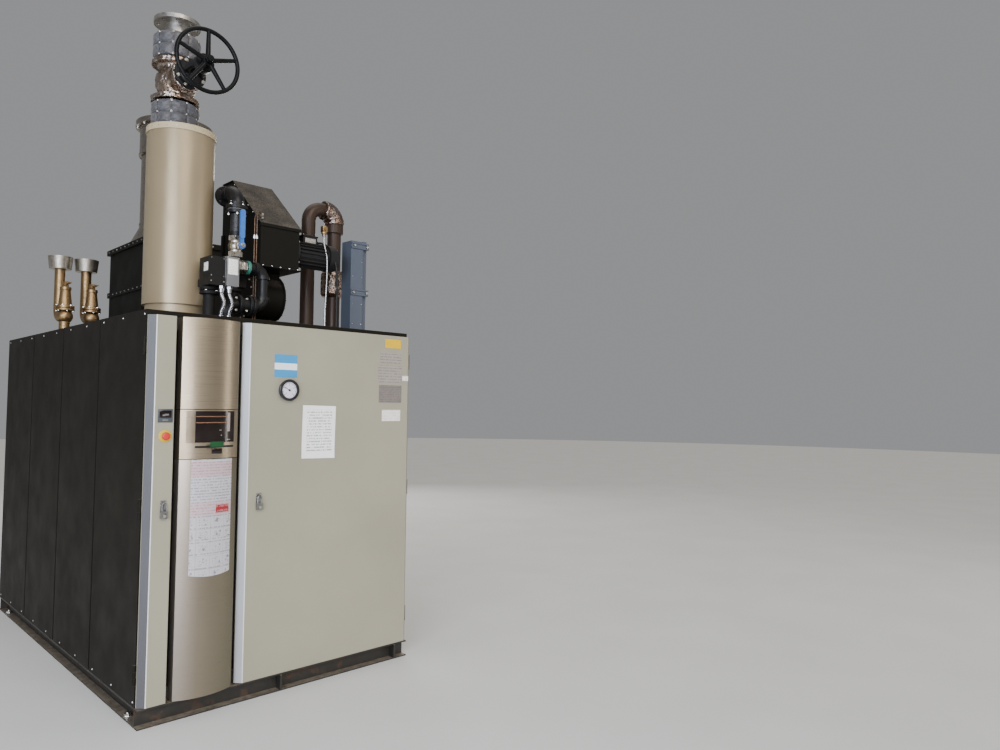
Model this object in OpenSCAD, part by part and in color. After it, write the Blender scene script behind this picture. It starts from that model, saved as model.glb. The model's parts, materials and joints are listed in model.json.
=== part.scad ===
// Modular steam boiler in a sheet-metal cabinet, standing on a channel base.
// X runs across the front, the front faces -Y, and Z is up.
// The origin is the middle of the base frame's underside.

/* [Cabinet] */
// Width of the cabinet across the front
cab_w = 1555; // [1450:5:1800]
// Depth of the cabinet from the doors to the rear panel
cab_d = 2830; // [2500:10:3300]
// Height of the side walls above the base frame
wall_h = 1874; // [1750:2:2100]
// Thickness of the side, rear and roof panels
wall_t = 30; // [20:1:45]
// Number of flat bays pressed into each side panel
wall_bays = 4; // [2:1:6]
// Depth of the grooves between the bays
groove_d = 8; // [4:1:12]

/* [Base frame] */
// Height of the base channels
base_h = 92; // [80:2:140]
// Width of the channel flanges
flange_w = 50; // [40:1:60]
// Thickness of the channel web and flanges
channel_t = 8; // [6:0.5:10]
// Number of cross members under the boiler
cross_count = 3; // [2:1:5]

/* [Doors] */
// Width of the narrow left door
left_door_w = 122; // [110:1:150]
// Width of the bulged column between the doors
column_w = 290; // [250:5:320]
// Dark gap on each side of the column
column_gap = 30; // [20:1:40]
// Depth of the door pans
door_d = 40; // [32:1:48]
// Sheet thickness of the door pans
door_skin = 3; // [2:0.5:4]
// Width of the bevel along the doors' outer edges
bevel = 30; // [20:1:34]
// Gap under the doors
door_gap = 6; // [5:1:12]
// Height of the header above the doors
head_h = 28; // [22:1:40]
// Gap between the doors and the front frame
frame_gap = 15; // [13:1:20]
// Size of the front frame's square tube
tube = 60; // [40:5:80]

/* [Control column] */
// How far the column bulges forward of the doors
bulge = 38; // [20:1:60]
// Height of the control section's lower seam above the doors' bottom edge
control_low = 1149; // [1000:1:1200]
// Height of the control section's upper seam above the doors' bottom edge
control_high = 1388; // [1300:1:1500]
// Height of the display window
window_h = 154; // [100:1:180]

/* [Hinges] */
// Outer radius of the hinge barrels
barrel_r = 8; // [7:0.5:10]
// Radius of the hinge pins
pin_r = 4; // [3:0.5:5]
// Running clearance round the pins
pin_clear = 0.2; // [0.1:0.05:0.3]
// Length of one knuckle
knuckle = 30; // [20:1:40]

/* [Separator and steam valve] */
// Radius of the separator jacket
jacket_r = 181; // [150:1:210]
// Height of the separator jacket above its skirt
jacket_h = 1000; // [800:5:1200]
// Height of the support skirt under the jacket
skirt_h = 96; // [60:2:140]
// Distance of the separator axis from the cabinet's left face
sep_x = 365; // [330:1:420]
// Distance of the separator axis from the front plane
sep_y = 640; // [520:5:800]
// Distance of the steam outlet axis to the left of the separator axis
outlet_shift = 42; // [0:1:45]
// Radius of the insulation covers on the steam outlet
cover_r = 126; // [110:1:136]
// Height of the insulation cover between the separator and the valve
neck_h = 150; // [60:5:240]
// Height of the insulation cover above the valve
outlet_h = 150; // [60:5:300]
// Distance from the steam outlet axis to the handwheel plane
stem_l = 432; // [380:2:520]
// Radius of the handwheel to the middle of its rim
wheel_r = 164; // [120:1:200]

/* [Gas train] */
// Distance of the gas riser from the cabinet's left face
gas_x = 612; // [590:1:640]
// Distance of the gas riser from the front plane
gas_y = 440; // [400:5:520]
// Outside radius of the gas pipe
gas_r = 30; // [24:1:38]
// Height of the ball valve above the roof
ball_z = 450; // [440:2:520]
// Height of the gas inlet's axis above the ball valve
inlet_rise = 323; // [300:1:380]
// Distance of the burner pipe in front of the riser
train_gap = 110; // [108:1:130]
// Height of the burner pipe's axis above the roof
pipe_z = 320; // [300:1:340]
// Length of the ball valve's lever
lever_l = 205; // [150:5:240]

/* [Air and flue] */
// Distance of the air duct's left face from the cabinet's left face
duct_x = 735; // [720:5:780]
// Width of the air duct
duct_w = 246; // [200:2:260]
// Distance of the air duct's front from the front plane
duct_y = 380; // [375:5:420]
// Height of the air duct's underside above the roof
duct_z = 350; // [345:5:380]
// Number of cooling fins on the blower motor
motor_fins = 20; // [12:1:28]
// Height of the economiser box above the roof
flue_box_h = 760; // [650:10:850]
// Distance of the flue axis to the right of the cabinet's middle
flue_x = 190; // [150:5:300]
// Radius of the flue stack
flue_r = 230; // [180:5:260]
// Height of the flue collar's top above the roof
flue_h = 1735; // [1500:5:1900]

/* [Feed, safety valves and wiring] */
// Height of the feed pipe's axis above the roof where it crosses over
feed_h = 880; // [760:5:950]
// Height of the wiring trunk above the roof
trunk_h = 630; // [500:5:700]
// Height of the drip pans above the roof
pan_z = 500; // [420:5:560]
// Height of the drip pans
pan_h = 90; // [60:2:120]

/* [Hidden] */

$fn = 64;
eps = 0.01;

wall_top = base_h + wall_h;
deck_z = wall_top;
left_x = -cab_w / 2;
right_x = cab_w / 2;
front_y = -cab_d / 2;
rear_y = cab_d / 2;
frame_y = front_y + door_d + frame_gap;
door_z = base_h + door_gap;
door_h = wall_h - door_gap - head_h;
left_door_x = left_x;
column_x = left_x + left_door_w + column_gap;
main_door_x = column_x + column_w + column_gap;
main_door_w = right_x - main_door_x;
seam = 3;
bulge_r = (column_w * column_w / 4 + bulge * bulge) / (2 * bulge);
hinge_off = 7;
hinge_z = [150, door_h / 2, door_h - 150];
steam_x = left_x + sep_x - outlet_shift;
steam_y = front_y + sep_y;
jacket_top = deck_z + skirt_h + jacket_h;
valve_half = 120;
valve_z = skirt_h + jacket_h + neck_h + valve_half;
lip = 25;
bonnet_l = 190;
bonnet_t = 30;
stem_r = 14;
stem_clear = 0.2;
stem_gap = 56;
flange_r = 60;
flange_t = 20;
gas_bend = 87;
ball_half = 60;
ball_stem_r = 9;
block_back = 59;
act_z = 190;
fin_h = 16;
valve_pitch_back = 150;
anchor_r = 11;
anchor_in = 22;
anchor_y = 200;
flue_holes = 12;
base_inset = 12;

// A box from its low corner and its size
module block(low, size) {
    translate(low) cube(size);
}

// A cylinder that starts at a point and runs along +X, +Y or +Z
module rod(p, r, l, axis = "z") {
    turn = axis == "x" ? [0, 90, 0] : axis == "y" ? [-90, 0, 0] : [0, 0, 0];
    translate(p) rotate(turn) cylinder(r = r, h = l);
}

// A quarter bend that rises from the origin and turns to the back, or to the left at a heading of 90
module elbow(r, bend, heading = 0) {
    rotate([0, 0, heading]) translate([0, bend, 0]) rotate([0, -90, 180])
        rotate_extrude(angle = 90) translate([bend, 0]) circle(r = r);
}

// A screwed elbow with a band at each end
module banded_elbow(r, bend, heading = 0) {
    band = 20;
    proud = 4;
    elbow(r, bend, heading);
    cylinder(r = r + proud, h = band);
    rotate([0, 0, heading]) translate([0, bend - band, bend]) rotate([-90, 0, 0]) cylinder(r = r + proud, h = band);
}

// A disc on a pipe that runs up, or along the axis that is named
module disc(p, r, t, axis = "z") {
    edge = 2;
    turn = axis == "x" ? [0, 90, 0] : axis == "y" ? [-90, 0, 0] : [0, 0, 0];
    translate(p) rotate(turn) rotate_extrude() polygon([[0, 0], [r - edge, 0], [r, edge], [r, t - edge],
        [r - edge, t], [0, t]]);
}

// A channel with its web at the back and its flanges towards +X, extruded along +Y
module channel(l) {
    rotate([-90, 0, 0]) mirror([0, 1, 0]) linear_extrude(l) polygon([[0, 0], [flange_w, 0], [flange_w, channel_t],
        [channel_t, channel_t], [channel_t, base_h - channel_t], [flange_w, base_h - channel_t],
        [flange_w, base_h], [0, base_h]]);
}

// One side rail on the right-hand side, with its two anchor holes
module side_rail() {
    difference() {
        translate([right_x - flange_w, front_y + flange_w + base_inset, 0])
            channel(cab_d - 2 * flange_w - base_inset);
        for (s = [-1, 1]) {
            translate([right_x - anchor_in, s * (cab_d / 2 - anchor_y), -1])
                cylinder(r = anchor_r, h = channel_t + 2);
        }
    }
}

module base_side_rails() {
    color("saddlebrown") {
        side_rail();
        mirror([1, 0, 0]) side_rail();
    }
}

// End rails, the front one with two gussets welded between its flanges
module base_end_rails() {
    gusset_t = 12;
    gusset_at = [723, 1464];
    proud = 8;
    color("saddlebrown") {
        translate([left_x, front_y + base_inset + flange_w, 0]) rotate([0, 0, -90]) channel(cab_w);
        translate([right_x, rear_y - flange_w, 0]) rotate([0, 0, 90]) channel(cab_w);
        for (x = gusset_at) {
            block([left_x + x - gusset_t / 2, front_y + base_inset - proud, channel_t - eps],
                [gusset_t, flange_w - channel_t + proud + eps, base_h - 2 * channel_t + 2 * eps]);
        }
    }
}

module base_cross_members() {
    pitch = (cab_d - 2 * flange_w) / (cross_count + 1);
    color("saddlebrown") for (i = [1:cross_count]) {
        block([left_x + flange_w, front_y + flange_w + i * pitch - 40, 0], [cab_w - 2 * flange_w, 80, base_h]);
    }
}

// One insulated wall panel with vertical grooves on its outer face at X = 0, its body towards +X
module ribbed_wall(l, h, bays) {
    difference() {
        cube([wall_t, l, h]);
        for (i = [1:bays - 1]) {
            block([-1, i * l / bays - groove_d, -1], [groove_d + 1, 2 * groove_d, h + 2]);
        }
    }
}

module left_side_panel() {
    color("dimgray") translate([left_x, frame_y, base_h])
        ribbed_wall(rear_y - frame_y - wall_t, wall_h, wall_bays);
}

module right_side_panel() {
    color("dimgray") mirror([1, 0, 0]) translate([left_x, frame_y, base_h])
        ribbed_wall(rear_y - frame_y - wall_t, wall_h, wall_bays);
}

module rear_panel() {
    color("dimgray") translate([left_x, rear_y, base_h]) rotate([0, 0, -90])
        ribbed_wall(cab_w, wall_h, 3);
}

module roof_deck() {
    color("gray") block([left_x + wall_t, frame_y, wall_top - wall_t],
        [cab_w - 2 * wall_t, rear_y - frame_y - wall_t, wall_t]);
}

// The square-tube frame that the doors close against
module front_frame() {
    inner_h = wall_h - wall_t;
    post_x = column_x + column_w - tube / 2;
    color("darkslategray") difference() {
        block([left_x + wall_t, frame_y, base_h], [cab_w - 2 * wall_t, tube, inner_h]);
        block([post_x + tube, frame_y - 1, base_h + tube], [right_x - wall_t - 2 * tube - post_x, tube + 2,
            inner_h - 2 * tube]);
        block([left_x + wall_t + tube / 2, frame_y - 1, base_h + tube], [column_x - left_x - wall_t - tube / 2,
            tube + 2, inner_h - 2 * tube]);
    }
}

// The clad boiler body behind the front bay
module boiler_casing() {
    bay = 150;
    side = 20;
    y0 = frame_y + tube + bay;
    color("silver") difference() {
        block([left_x + wall_t + side, y0, base_h], [cab_w - 2 * wall_t - 2 * side,
            rear_y - wall_t - side - y0, wall_h - wall_t - side]);
        for (i = [1:3]) {
            block([left_x, y0 - 1, base_h + i * wall_h / 4 - 3], [cab_w, 5, 6]);
        }
    }
}

// One section of the bulged column between two heights above the base frame
module column_section(z0, z1) {
    cx = column_x + column_w / 2;
    translate([0, 0, door_z + z0]) intersection() {
        block([column_x, front_y - bulge, 0], [column_w, frame_y - front_y + bulge, z1 - z0]);
        union() {
            translate([cx, front_y - bulge + bulge_r, 0]) cylinder(r = bulge_r, h = z1 - z0, $fn = 128);
            block([column_x, front_y, 0], [column_w, frame_y - front_y, z1 - z0]);
        }
    }
}

module column_upper() {
    color("tan") column_section(control_high + seam, door_h);
}

module control_panel() {
    win_z = control_high - 6 - window_h;
    color("silver") difference() {
        column_section(control_low, control_high);
        block([column_x + 24, front_y - bulge - 1, door_z + win_z], [column_w - 48, bulge + 11, window_h]);
        block([column_x + column_w / 2 - 30, front_y - bulge - 1, door_z + win_z - 34], [56, 9, 24]);
    }
}

module column_lower() {
    color("tan") column_section(0, control_low - seam);
}

// The dark curved pane set in the control panel
module display_window() {
    cx = column_x + column_w / 2;
    win_z = control_high - 6 - window_h;
    color("black") intersection() {
        translate([cx, front_y - bulge + bulge_r + 2, door_z + win_z]) cylinder(r = bulge_r, h = window_h, $fn = 128);
        block([column_x + 24, front_y - bulge, door_z + win_z], [column_w - 48, bulge + 10, window_h]);
    }
}

// A door pan with its outer corner at X = 0 and its face at Y = 0, bevelled on one or both sides
module door_pan(w, h, bevel_right) {
    t = door_skin;
    skew = bevel + t * (sqrt(2) - 1);
    right_out = bevel_right ? [[w - bevel, 0], [w, bevel]] : [[w, 0]];
    right_in = bevel_right ? [[w - skew, t], [w - t, skew]] : [[w - t, t]];
    outer = concat([[0, bevel], [bevel, 0]], right_out, [[w, door_d], [0, door_d]]);
    inner = concat([[t, skew], [skew, t]], right_in, [[w - t, door_d - t], [t, door_d - t]]);
    difference() {
        linear_extrude(h) polygon(outer);
        translate([0, 0, t]) linear_extrude(h - 2 * t) polygon(inner);
        translate([lip, door_d - t - 1, lip]) cube([w - 2 * lip, t + 2, h - 2 * lip]);
    }
}

// Leaf and knuckle of one hinge on the door, at the pin axis
module door_knuckle(dir) {
    difference() {
        union() {
            translate([0, 0, -knuckle / 2]) cylinder(r = barrel_r, h = knuckle);
            translate([dir > 0 ? 0 : -50, -frame_gap / 2, -knuckle / 2]) cube([50, 3, knuckle]);
        }
        translate([0, 0, -knuckle]) cylinder(r = pin_r + pin_clear, h = 2 * knuckle);
    }
}

// Leaf, two knuckles and pin of one hinge on the frame, at the pin axis
module frame_knuckle(dir) {
    gap = 0.5;
    lower = -knuckle * 1.5 - gap;
    leaf_x = dir > 0 ? 0 : -hinge_off - wall_t - 24;
    for (z = [lower, knuckle / 2 + gap]) {
        translate([0, 0, z]) cylinder(r = barrel_r, h = knuckle);
        translate([leaf_x, frame_gap / 2 - 3, z]) cube([hinge_off + wall_t + 24, 3, knuckle]);
    }
    translate([0, 0, lower]) cylinder(r = pin_r, h = 3 * knuckle + 2 * gap);
}

module left_door() {
    color("tan") {
        translate([left_door_x, front_y, door_z]) door_pan(left_door_w, door_h, false);
        for (z = hinge_z) {
            translate([left_door_x - hinge_off, front_y + door_d + frame_gap / 2, door_z + z]) door_knuckle(1);
        }
    }
}

module left_door_hinges() {
    color("dimgray") for (z = hinge_z) {
        translate([left_door_x - hinge_off, front_y + door_d + frame_gap / 2, door_z + z]) frame_knuckle(1);
    }
}

module left_door_display() {
    color("black") block([left_x + 46, front_y - 4, door_z + 1327], [70, 4, 64]);
}

module emergency_stop() {
    p = [left_x + 82, front_y, door_z + 1262];
    color("gold") rod(p + [0, -4, 0], 30, 4, "y");
    color("red") {
        rod(p + [0, -22, 0], 11, 18, "y");
        rod(p + [0, -34, 0], 19, 12, "y");
    }
}

// A hasp and closed padlock on a door face, centred on X = 0 and Z = 0
module hasp() {
    block([-14, -3, -32], [28, 3, 64]);
    difference() {
        translate([-3, -22, -8]) cube([6, 20, 24]);
        translate([-4, -13, 6]) rotate([0, 90, 0]) cylinder(r = 4.2, h = 8);
    }
    translate([-16, -22, -52]) cube([32, 16, 34]);
    for (x = [-10, 10]) {
        translate([x, -14, -20]) cylinder(r = 3, h = 30);
    }
    translate([0, -14, 10]) rotate([90, 0, 0]) rotate_extrude(angle = 180) translate([10, 0]) circle(r = 3);
}

module left_door_latch() {
    color("silver") translate([left_x + 84, front_y, door_z + 925]) hasp();
}

module main_door() {
    color("tan") {
        translate([main_door_x, front_y, door_z]) door_pan(main_door_w, door_h, true);
        for (z = [0.2, 0.4, 0.6, 0.8]) {
            block([main_door_x + 50, front_y + door_skin, door_z + z * door_h - 25], [main_door_w - 100, 25, 50]);
        }
        for (z = hinge_z) {
            translate([right_x + hinge_off, front_y + door_d + frame_gap / 2, door_z + z]) door_knuckle(-1);
        }
    }
}

module main_door_hinges() {
    color("dimgray") for (z = hinge_z) {
        translate([right_x + hinge_off, front_y + door_d + frame_gap / 2, door_z + z]) frame_knuckle(-1);
    }
}

module pressure_gauge() {
    p = [main_door_x + 247, front_y, door_z + 1496];
    color("black") difference() {
        rod(p + [0, -24, 0], 58, 24, "y");
        rod(p + [0, -25, 0], 50, 7, "y");
    }
    color("white") rod(p + [0, -20, 0], 49.8, 2, "y");
}

module main_door_latch() {
    color("silver") translate([main_door_x + 94, front_y, door_z + 925]) hasp();
}

module separator_jacket() {
    rim = 34;
    color("tan") translate([left_x + sep_x, steam_y, deck_z]) rotate_extrude($fn = 128) polygon([[0, 0],
        [jacket_r + 14, 0], [jacket_r + 14, 8], [jacket_r - 16, 8], [jacket_r - 16, skirt_h], [jacket_r, skirt_h],
        [jacket_r, skirt_h + jacket_h - rim], [jacket_r + 3, skirt_h + jacket_h - rim],
        [jacket_r + 3, skirt_h + jacket_h], [0, skirt_h + jacket_h]]);
}

// A round insulation cover with chamfered ends
module pipe_cover(h) {
    edge = 12;
    rotate_extrude() polygon([[0, 0], [cover_r - edge, 0], [cover_r, edge], [cover_r, h - edge],
        [cover_r - edge, h], [0, h]]);
}

// Quilted insulation cover between the separator and the valve
module neck_cover() {
    color("lightsteelblue") translate([steam_x, steam_y, jacket_top]) pipe_cover(neck_h);
}

// Stop valve body between its two flanges, with the bonnet's neck towards the front
module steam_valve_body() {
    end_t = 34;
    neck_r = 92;
    bulb_r = 112;
    bonnet_r = 74;
    color("goldenrod") translate([steam_x, steam_y, deck_z + valve_z]) {
        disc([0, 0, -valve_half], cover_r + 6, end_t);
        disc([0, 0, valve_half - end_t], cover_r + 6, end_t);
        cylinder(r = neck_r, h = 2 * valve_half - end_t, center = true);
        sphere(r = bulb_r);
        rotate([90, 0, 0]) cylinder(r = bonnet_r, h = bonnet_l - bonnet_t);
        rotate([90, 0, 0]) disc([0, 0, bonnet_l - bonnet_t], neck_r, bonnet_t);
    }
}

// Bonnet, arched yoke and stem nut of the steam valve, running towards the front
module steam_valve_yoke() {
    arm = stem_l - bonnet_l - 60;
    nut_t = 26;
    plate = 26;
    foot = 20;
    arch_r = 38;
    arch_z = 84;
    color("dimgray") translate([steam_x, steam_y - bonnet_l, deck_z + valve_z]) rotate([90, 0, 0]) {
        disc([0, 0, 0], 84, 24);
        translate([0, 0, 24]) cylinder(r1 = 60, r2 = 34, h = 22);
        translate([0, 0, 24]) cylinder(r = stem_r + 12, h = 30);
        difference() {
            union() {
                rotate([90, 0, 0]) linear_extrude(plate, center = true) difference() {
                    polygon([[-66, foot], [66, foot], [44, arm], [-44, arm]]);
                    polygon([[-arch_r, arch_z], [arch_r, arch_z], [28, arm - 10], [-28, arm - 10]]);
                    translate([0, arch_z]) circle(r = arch_r);
                    translate([-28, -1]) square([56, arch_z - arch_r + 18]);
                }
                translate([0, 0, arm - 12]) cylinder(r = 50, h = nut_t + 12);
            }
            translate([0, 0, arm - 20]) cylinder(r = stem_r + stem_clear, h = nut_t + 30);
        }
    }
}

// Five-spoke wheel with its hub, its nut and the stem that turns with it
module handwheel() {
    rim = 9;
    hub_r = 26;
    spokes = 5;
    hub_front = 14;
    color("black") translate([steam_x, steam_y - stem_l, deck_z + valve_z]) rotate([90, 0, 0]) {
        rotate_extrude($fn = 96) translate([wheel_r, 0]) circle(r = rim);
        translate([0, 0, -20]) cylinder(r = hub_r, h = 20 + hub_front);
        translate([0, 0, hub_front]) cylinder(r = 20, h = 14, $fn = 6);
        for (i = [0:spokes - 1]) {
            rotate([0, 0, 90 + i * 360 / spokes]) translate([20, 0, 0]) rotate([0, 90, 0])
                cylinder(r1 = 11, r2 = 8, h = wheel_r - hub_r);
        }
        translate([0, 0, bonnet_l + stem_gap - stem_l]) cylinder(r = stem_r, h = stem_l - bonnet_l - stem_gap + 44);
    }
}

module outlet_cover() {
    color("lightsteelblue") translate([steam_x, steam_y, deck_z + valve_z + valve_half]) pipe_cover(outlet_h);
}

// Raised pipe end with a drilled flange, where the steam main bolts on
module outlet_flange() {
    z = deck_z + valve_z + valve_half + outlet_h;
    color("silver") translate([steam_x, steam_y, z]) difference() {
        union() {
            cylinder(r = 62, h = 90);
            translate([0, 0, 66]) cylinder(r = 125, h = 24);
        }
        translate([0, 0, 20]) cylinder(r = 52, h = 80);
        for (i = [0:7]) {
            rotate([0, 0, 22.5 + 45 * i]) translate([100, 0, 60]) cylinder(r = 9, h = 40);
        }
    }
}

// Gas riser, bolted flange pair, short elbow to the rear and the inlet flange
module gas_inlet_pipe() {
    gasket = 6;
    run = 60;
    bend_z = inlet_rise - gas_bend;
    hole_at = flange_r - 16;
    color("black") translate([left_x + gas_x, front_y + gas_y, deck_z + ball_z]) {
        rod([0, 0, ball_half], gas_r, bend_z - ball_half);
        rod([0, 0, ball_half], gas_r + 5, 26);
        disc([0, 0, bend_z - 2 * flange_t - gasket], flange_r, flange_t);
        disc([0, 0, bend_z - flange_t], flange_r, flange_t);
        translate([0, 0, bend_z]) banded_elbow(gas_r + 14, gas_bend);
        translate([0, gas_bend, inlet_rise]) difference() {
            union() {
                rod([0, 0, 0], gas_r, run, "y");
                disc([0, run, 0], flange_r, flange_t, "y");
            }
            for (i = [0:3]) {
                rotate([-90, 45 + 90 * i, 0]) translate([hole_at, 0, run - 10]) cylinder(r = 6, h = flange_t + 20);
            }
        }
    }
}

// Ball valve with hexagonal ends and a stem towards the front
module gas_ball_valve() {
    hex_r = 44;
    hex_h = 28;
    boss = 54;
    color("silver") translate([left_x + gas_x, front_y + gas_y, deck_z + ball_z]) {
        translate([0, 0, -ball_half]) cylinder(r = hex_r, h = hex_h, $fn = 6);
        translate([0, 0, ball_half - hex_h]) cylinder(r = hex_r, h = hex_h, $fn = 6);
        rod([0, 0, -ball_half + hex_h - 2], 37, 2 * (ball_half - hex_h) + 4);
        sphere(r = 43);
        rotate([90, 0, 0]) {
            cylinder(r = 22, h = boss);
            translate([0, 0, boss]) cylinder(r = 19, h = 12, $fn = 6);
            cylinder(r = ball_stem_r, h = boss + 38);
        }
    }
}

// Lever on the ball valve's stem, upright when the valve is open
module ball_valve_lever() {
    hub_r = 20;
    hub_t = 12;
    neck = 52;
    grip_w = 30;
    grip_t = 14;
    color("royalblue") translate([left_x + gas_x, front_y + gas_y - 70, deck_z + ball_z]) rotate([90, 0, 0]) difference() {
        union() {
            cylinder(r = hub_r, h = hub_t);
            translate([-11, 0, 3]) cube([22, neck + 4, 6]);
            translate([0, 0, -1]) linear_extrude(grip_t) {
                translate([-grip_w / 2, neck]) square([grip_w, lever_l - neck - grip_w / 2]);
                translate([0, neck]) circle(r = grip_w / 2);
                translate([0, lever_l - grip_w / 2]) circle(r = grip_w / 2);
            }
        }
        translate([0, 0, -1]) cylinder(r = ball_stem_r + 0.2, h = hub_t + 8);
    }
}

// Valve block under the riser, with its bosses and its foot on the roof
module gas_valve_body() {
    low = 216;
    high = 346;
    boss_r = 44;
    color("dimgray") translate([left_x + gas_x, front_y + gas_y, deck_z]) {
        block([-block_back, -40, low], [block_back + 50, 108, high - low]);
        disc([0, 14, low - 24], boss_r, 24);
        rod([0, 0, high], boss_r - 4, 24);
        rod([0, 0, high], gas_r, ball_z - ball_half - high);
        rod([0, 14, 0], gas_r, low);
        disc([0, 14, 0], boss_r, 14);
    }
}

// Actuator with its base and cover, the valve's end block, and the flanged regulator that carries them
module gas_valve_actuator() {
    depth = 150;
    end_w = 75;
    box_w = 89;
    cover_z = act_z + 42;
    x = left_x + gas_x - block_back - end_w - box_w;
    y = front_y + gas_y - 175;
    leg = [x + 41, y + 97, deck_z];
    color("dimgray") {
        block([x, y, deck_z + act_z], [box_w, depth, 42]);
        block([x + 4, y + 8, deck_z + cover_z], [box_w - 4, depth - 16, 116]);
        block([x + box_w, y - 6, deck_z + act_z], [end_w, depth + 12, 166]);
        disc(leg, 38, 12);
        rod(leg, 30, act_z);
        disc(leg + [0, 0, act_z - 42], 50, 18);
        disc(leg + [0, 0, act_z - 20], 50, 18);
    }
}

// Union, elbow and drop pipe in front of the air duct, then a flanged valve and the foot on the roof
module burner_gas_pipe() {
    r = 26;
    fit_r = r + 6;
    bend = 58;
    run = 118;
    low_z = 104;
    flange = 58;
    x = left_x + gas_x - block_back;
    drop_x = run + bend;
    foot_x = drop_x - 2 * bend - 97;
    color("dimgray") translate([x, front_y + gas_y - train_gap, deck_z]) {
        rod([0, 0, pipe_z], r, run, "x");
        translate([8, 0, pipe_z]) rotate([0, 90, 0]) cylinder(r = 42, h = 26, $fn = 6);
        rod([34, 0, pipe_z], 33, 8, "x");
        translate([42, 0, pipe_z]) rotate([0, 90, 0]) cylinder(r = 38, h = 24, $fn = 6);
        rod([72, 0, pipe_z], 37, 16, "x");
        translate([drop_x, 0, pipe_z - bend]) banded_elbow(fit_r, bend, 90);
        rod([drop_x, 0, low_z + bend], r, pipe_z - low_z - 2 * bend);
        translate([drop_x, 0, low_z + bend]) mirror([0, 0, 1]) banded_elbow(fit_r, bend, 90);
        for (dx = [16, 36, 97]) {
            disc([drop_x - bend - dx, 0, low_z], flange, 16, "x");
        }
        rod([foot_x + bend, 0, low_z], r + 16, 97, "x");
        translate([foot_x, 0, low_z - bend]) elbow(r + 4, bend, -90);
        rod([foot_x, 0, 0], r, low_z - bend);
        disc([foot_x, 0, 0], 36, 12);
    }
}

// One flexible conduit that bows to the front between two ferrules, hung from the point [0, 0, 0]
module flex_drop(drop) {
    ferrule = 36;
    tube_r = 9;
    half = 50;
    r = (drop - ferrule) / 2 / sin(half);
    disc([0, 0, -ferrule], tube_r + 4, ferrule);
    disc([0, 0, -drop], tube_r + 4, ferrule);
    translate([0, r * cos(half), -drop / 2]) rotate([90, 0, -90]) rotate([0, 0, -half])
        rotate_extrude(angle = 2 * half) translate([r, 0]) circle(r = tube_r);
}

// Two short flexible conduits from the actuator down to the roof
module valve_conduits() {
    color("silver") for (i = [0, 1]) {
        translate([left_x + gas_x - 150 + 44 * i, front_y + gas_y - 160, deck_z + act_z]) flex_drop(act_z);
    }
}

// Air duct with a sloping top that drops towards the front, a folded lid and a bottom flange
module air_duct() {
    long = 520;
    ridge = 380;
    front_h = 256;
    back_h = 576;
    lid = 6;
    proud = 8;
    color("dimgray") translate([left_x + duct_x, front_y + duct_y, deck_z + duct_z]) {
        rotate([90, 0, 90]) linear_extrude(duct_w) polygon([[0, 0], [long, 0], [long, back_h], [ridge, back_h],
            [0, front_h]]);
        translate([-proud, 0, 0]) rotate([90, 0, 90]) linear_extrude(duct_w + 2 * proud) polygon([[-proud, front_h - 18],
            [0, front_h - 18], [0, front_h], [ridge, back_h], [long, back_h], [long, back_h + lid],
            [ridge - 2, back_h + lid], [-proud, front_h]]);
        block([-2 * proud, -2 * proud, 0], [duct_w + 4 * proud, long + 4 * proud, lid]);
        for (y = [long / 2, long - 30]) {
            block([-proud, y, 0], [duct_w + 2 * proud, 30, front_h]);
        }
    }
}

// Volute of the blower under the air duct, with its outlet down to the roof
module blower_casing() {
    small_r = 100;
    growth = 64;
    rim = 10;
    drop_d = 130;
    w = duct_w - 46;
    cz = 190;
    scroll = [for (a = [0:12:360]) (small_r + growth * a / 360) * [cos(-a), sin(-a)]];
    color("dimgray") translate([left_x + duct_x + 23, front_y + duct_y + 260, deck_z]) {
        translate([0, 0, cz]) rotate([90, 0, 90]) linear_extrude(w) polygon(scroll);
        for (x = [-rim, w]) {
            translate([x, 0, cz]) rotate([90, 0, 90]) linear_extrude(rim) scale(1.06) polygon(scroll);
        }
        block([0, small_r + growth - drop_d, 0], [w, drop_d, cz]);
        block([-rim, small_r + growth - drop_d - rim, 0], [w + 2 * rim, drop_d + 2 * rim, rim]);
        block([0, -70, cz], [w, 140, duct_z - cz]);
    }
}

// Finned motor on the right-hand side of the air duct
module blower_motor() {
    seat_t = 12;
    core_r = 68;
    body_l = 220;
    cowl_l = 76;
    cowl_r = core_r + fin_h;
    color("slategray") translate([left_x + duct_x + duct_w, front_y + duct_y + 96, deck_z + duct_z + 128]) {
        disc([0, 0, 0], cowl_r + 12, seat_t, "x");
        rod([seat_t, 0, 0], core_r, body_l, "x");
        translate([seat_t + 14, 0, 0]) rotate([90, 0, 90]) linear_extrude(body_l - 28) for (i = [0:motor_fins - 1]) {
            rotate(i * 360 / motor_fins) translate([core_r - 4, -2]) square([fin_h + 2, 4]);
        }
        translate([seat_t + body_l, 0, 0]) rotate([0, 90, 0]) rotate_extrude() polygon([[0, 0], [cowl_r, 0],
            [cowl_r, cowl_l - 24], [cowl_r - 10, cowl_l - 7], [cowl_r - 26, cowl_l], [0, cowl_l]]);
        block([60, -38, core_r - 8], [96, 76, 52]);
        block([56, -42, core_r + 44], [104, 84, 8]);
    }
}

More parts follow.
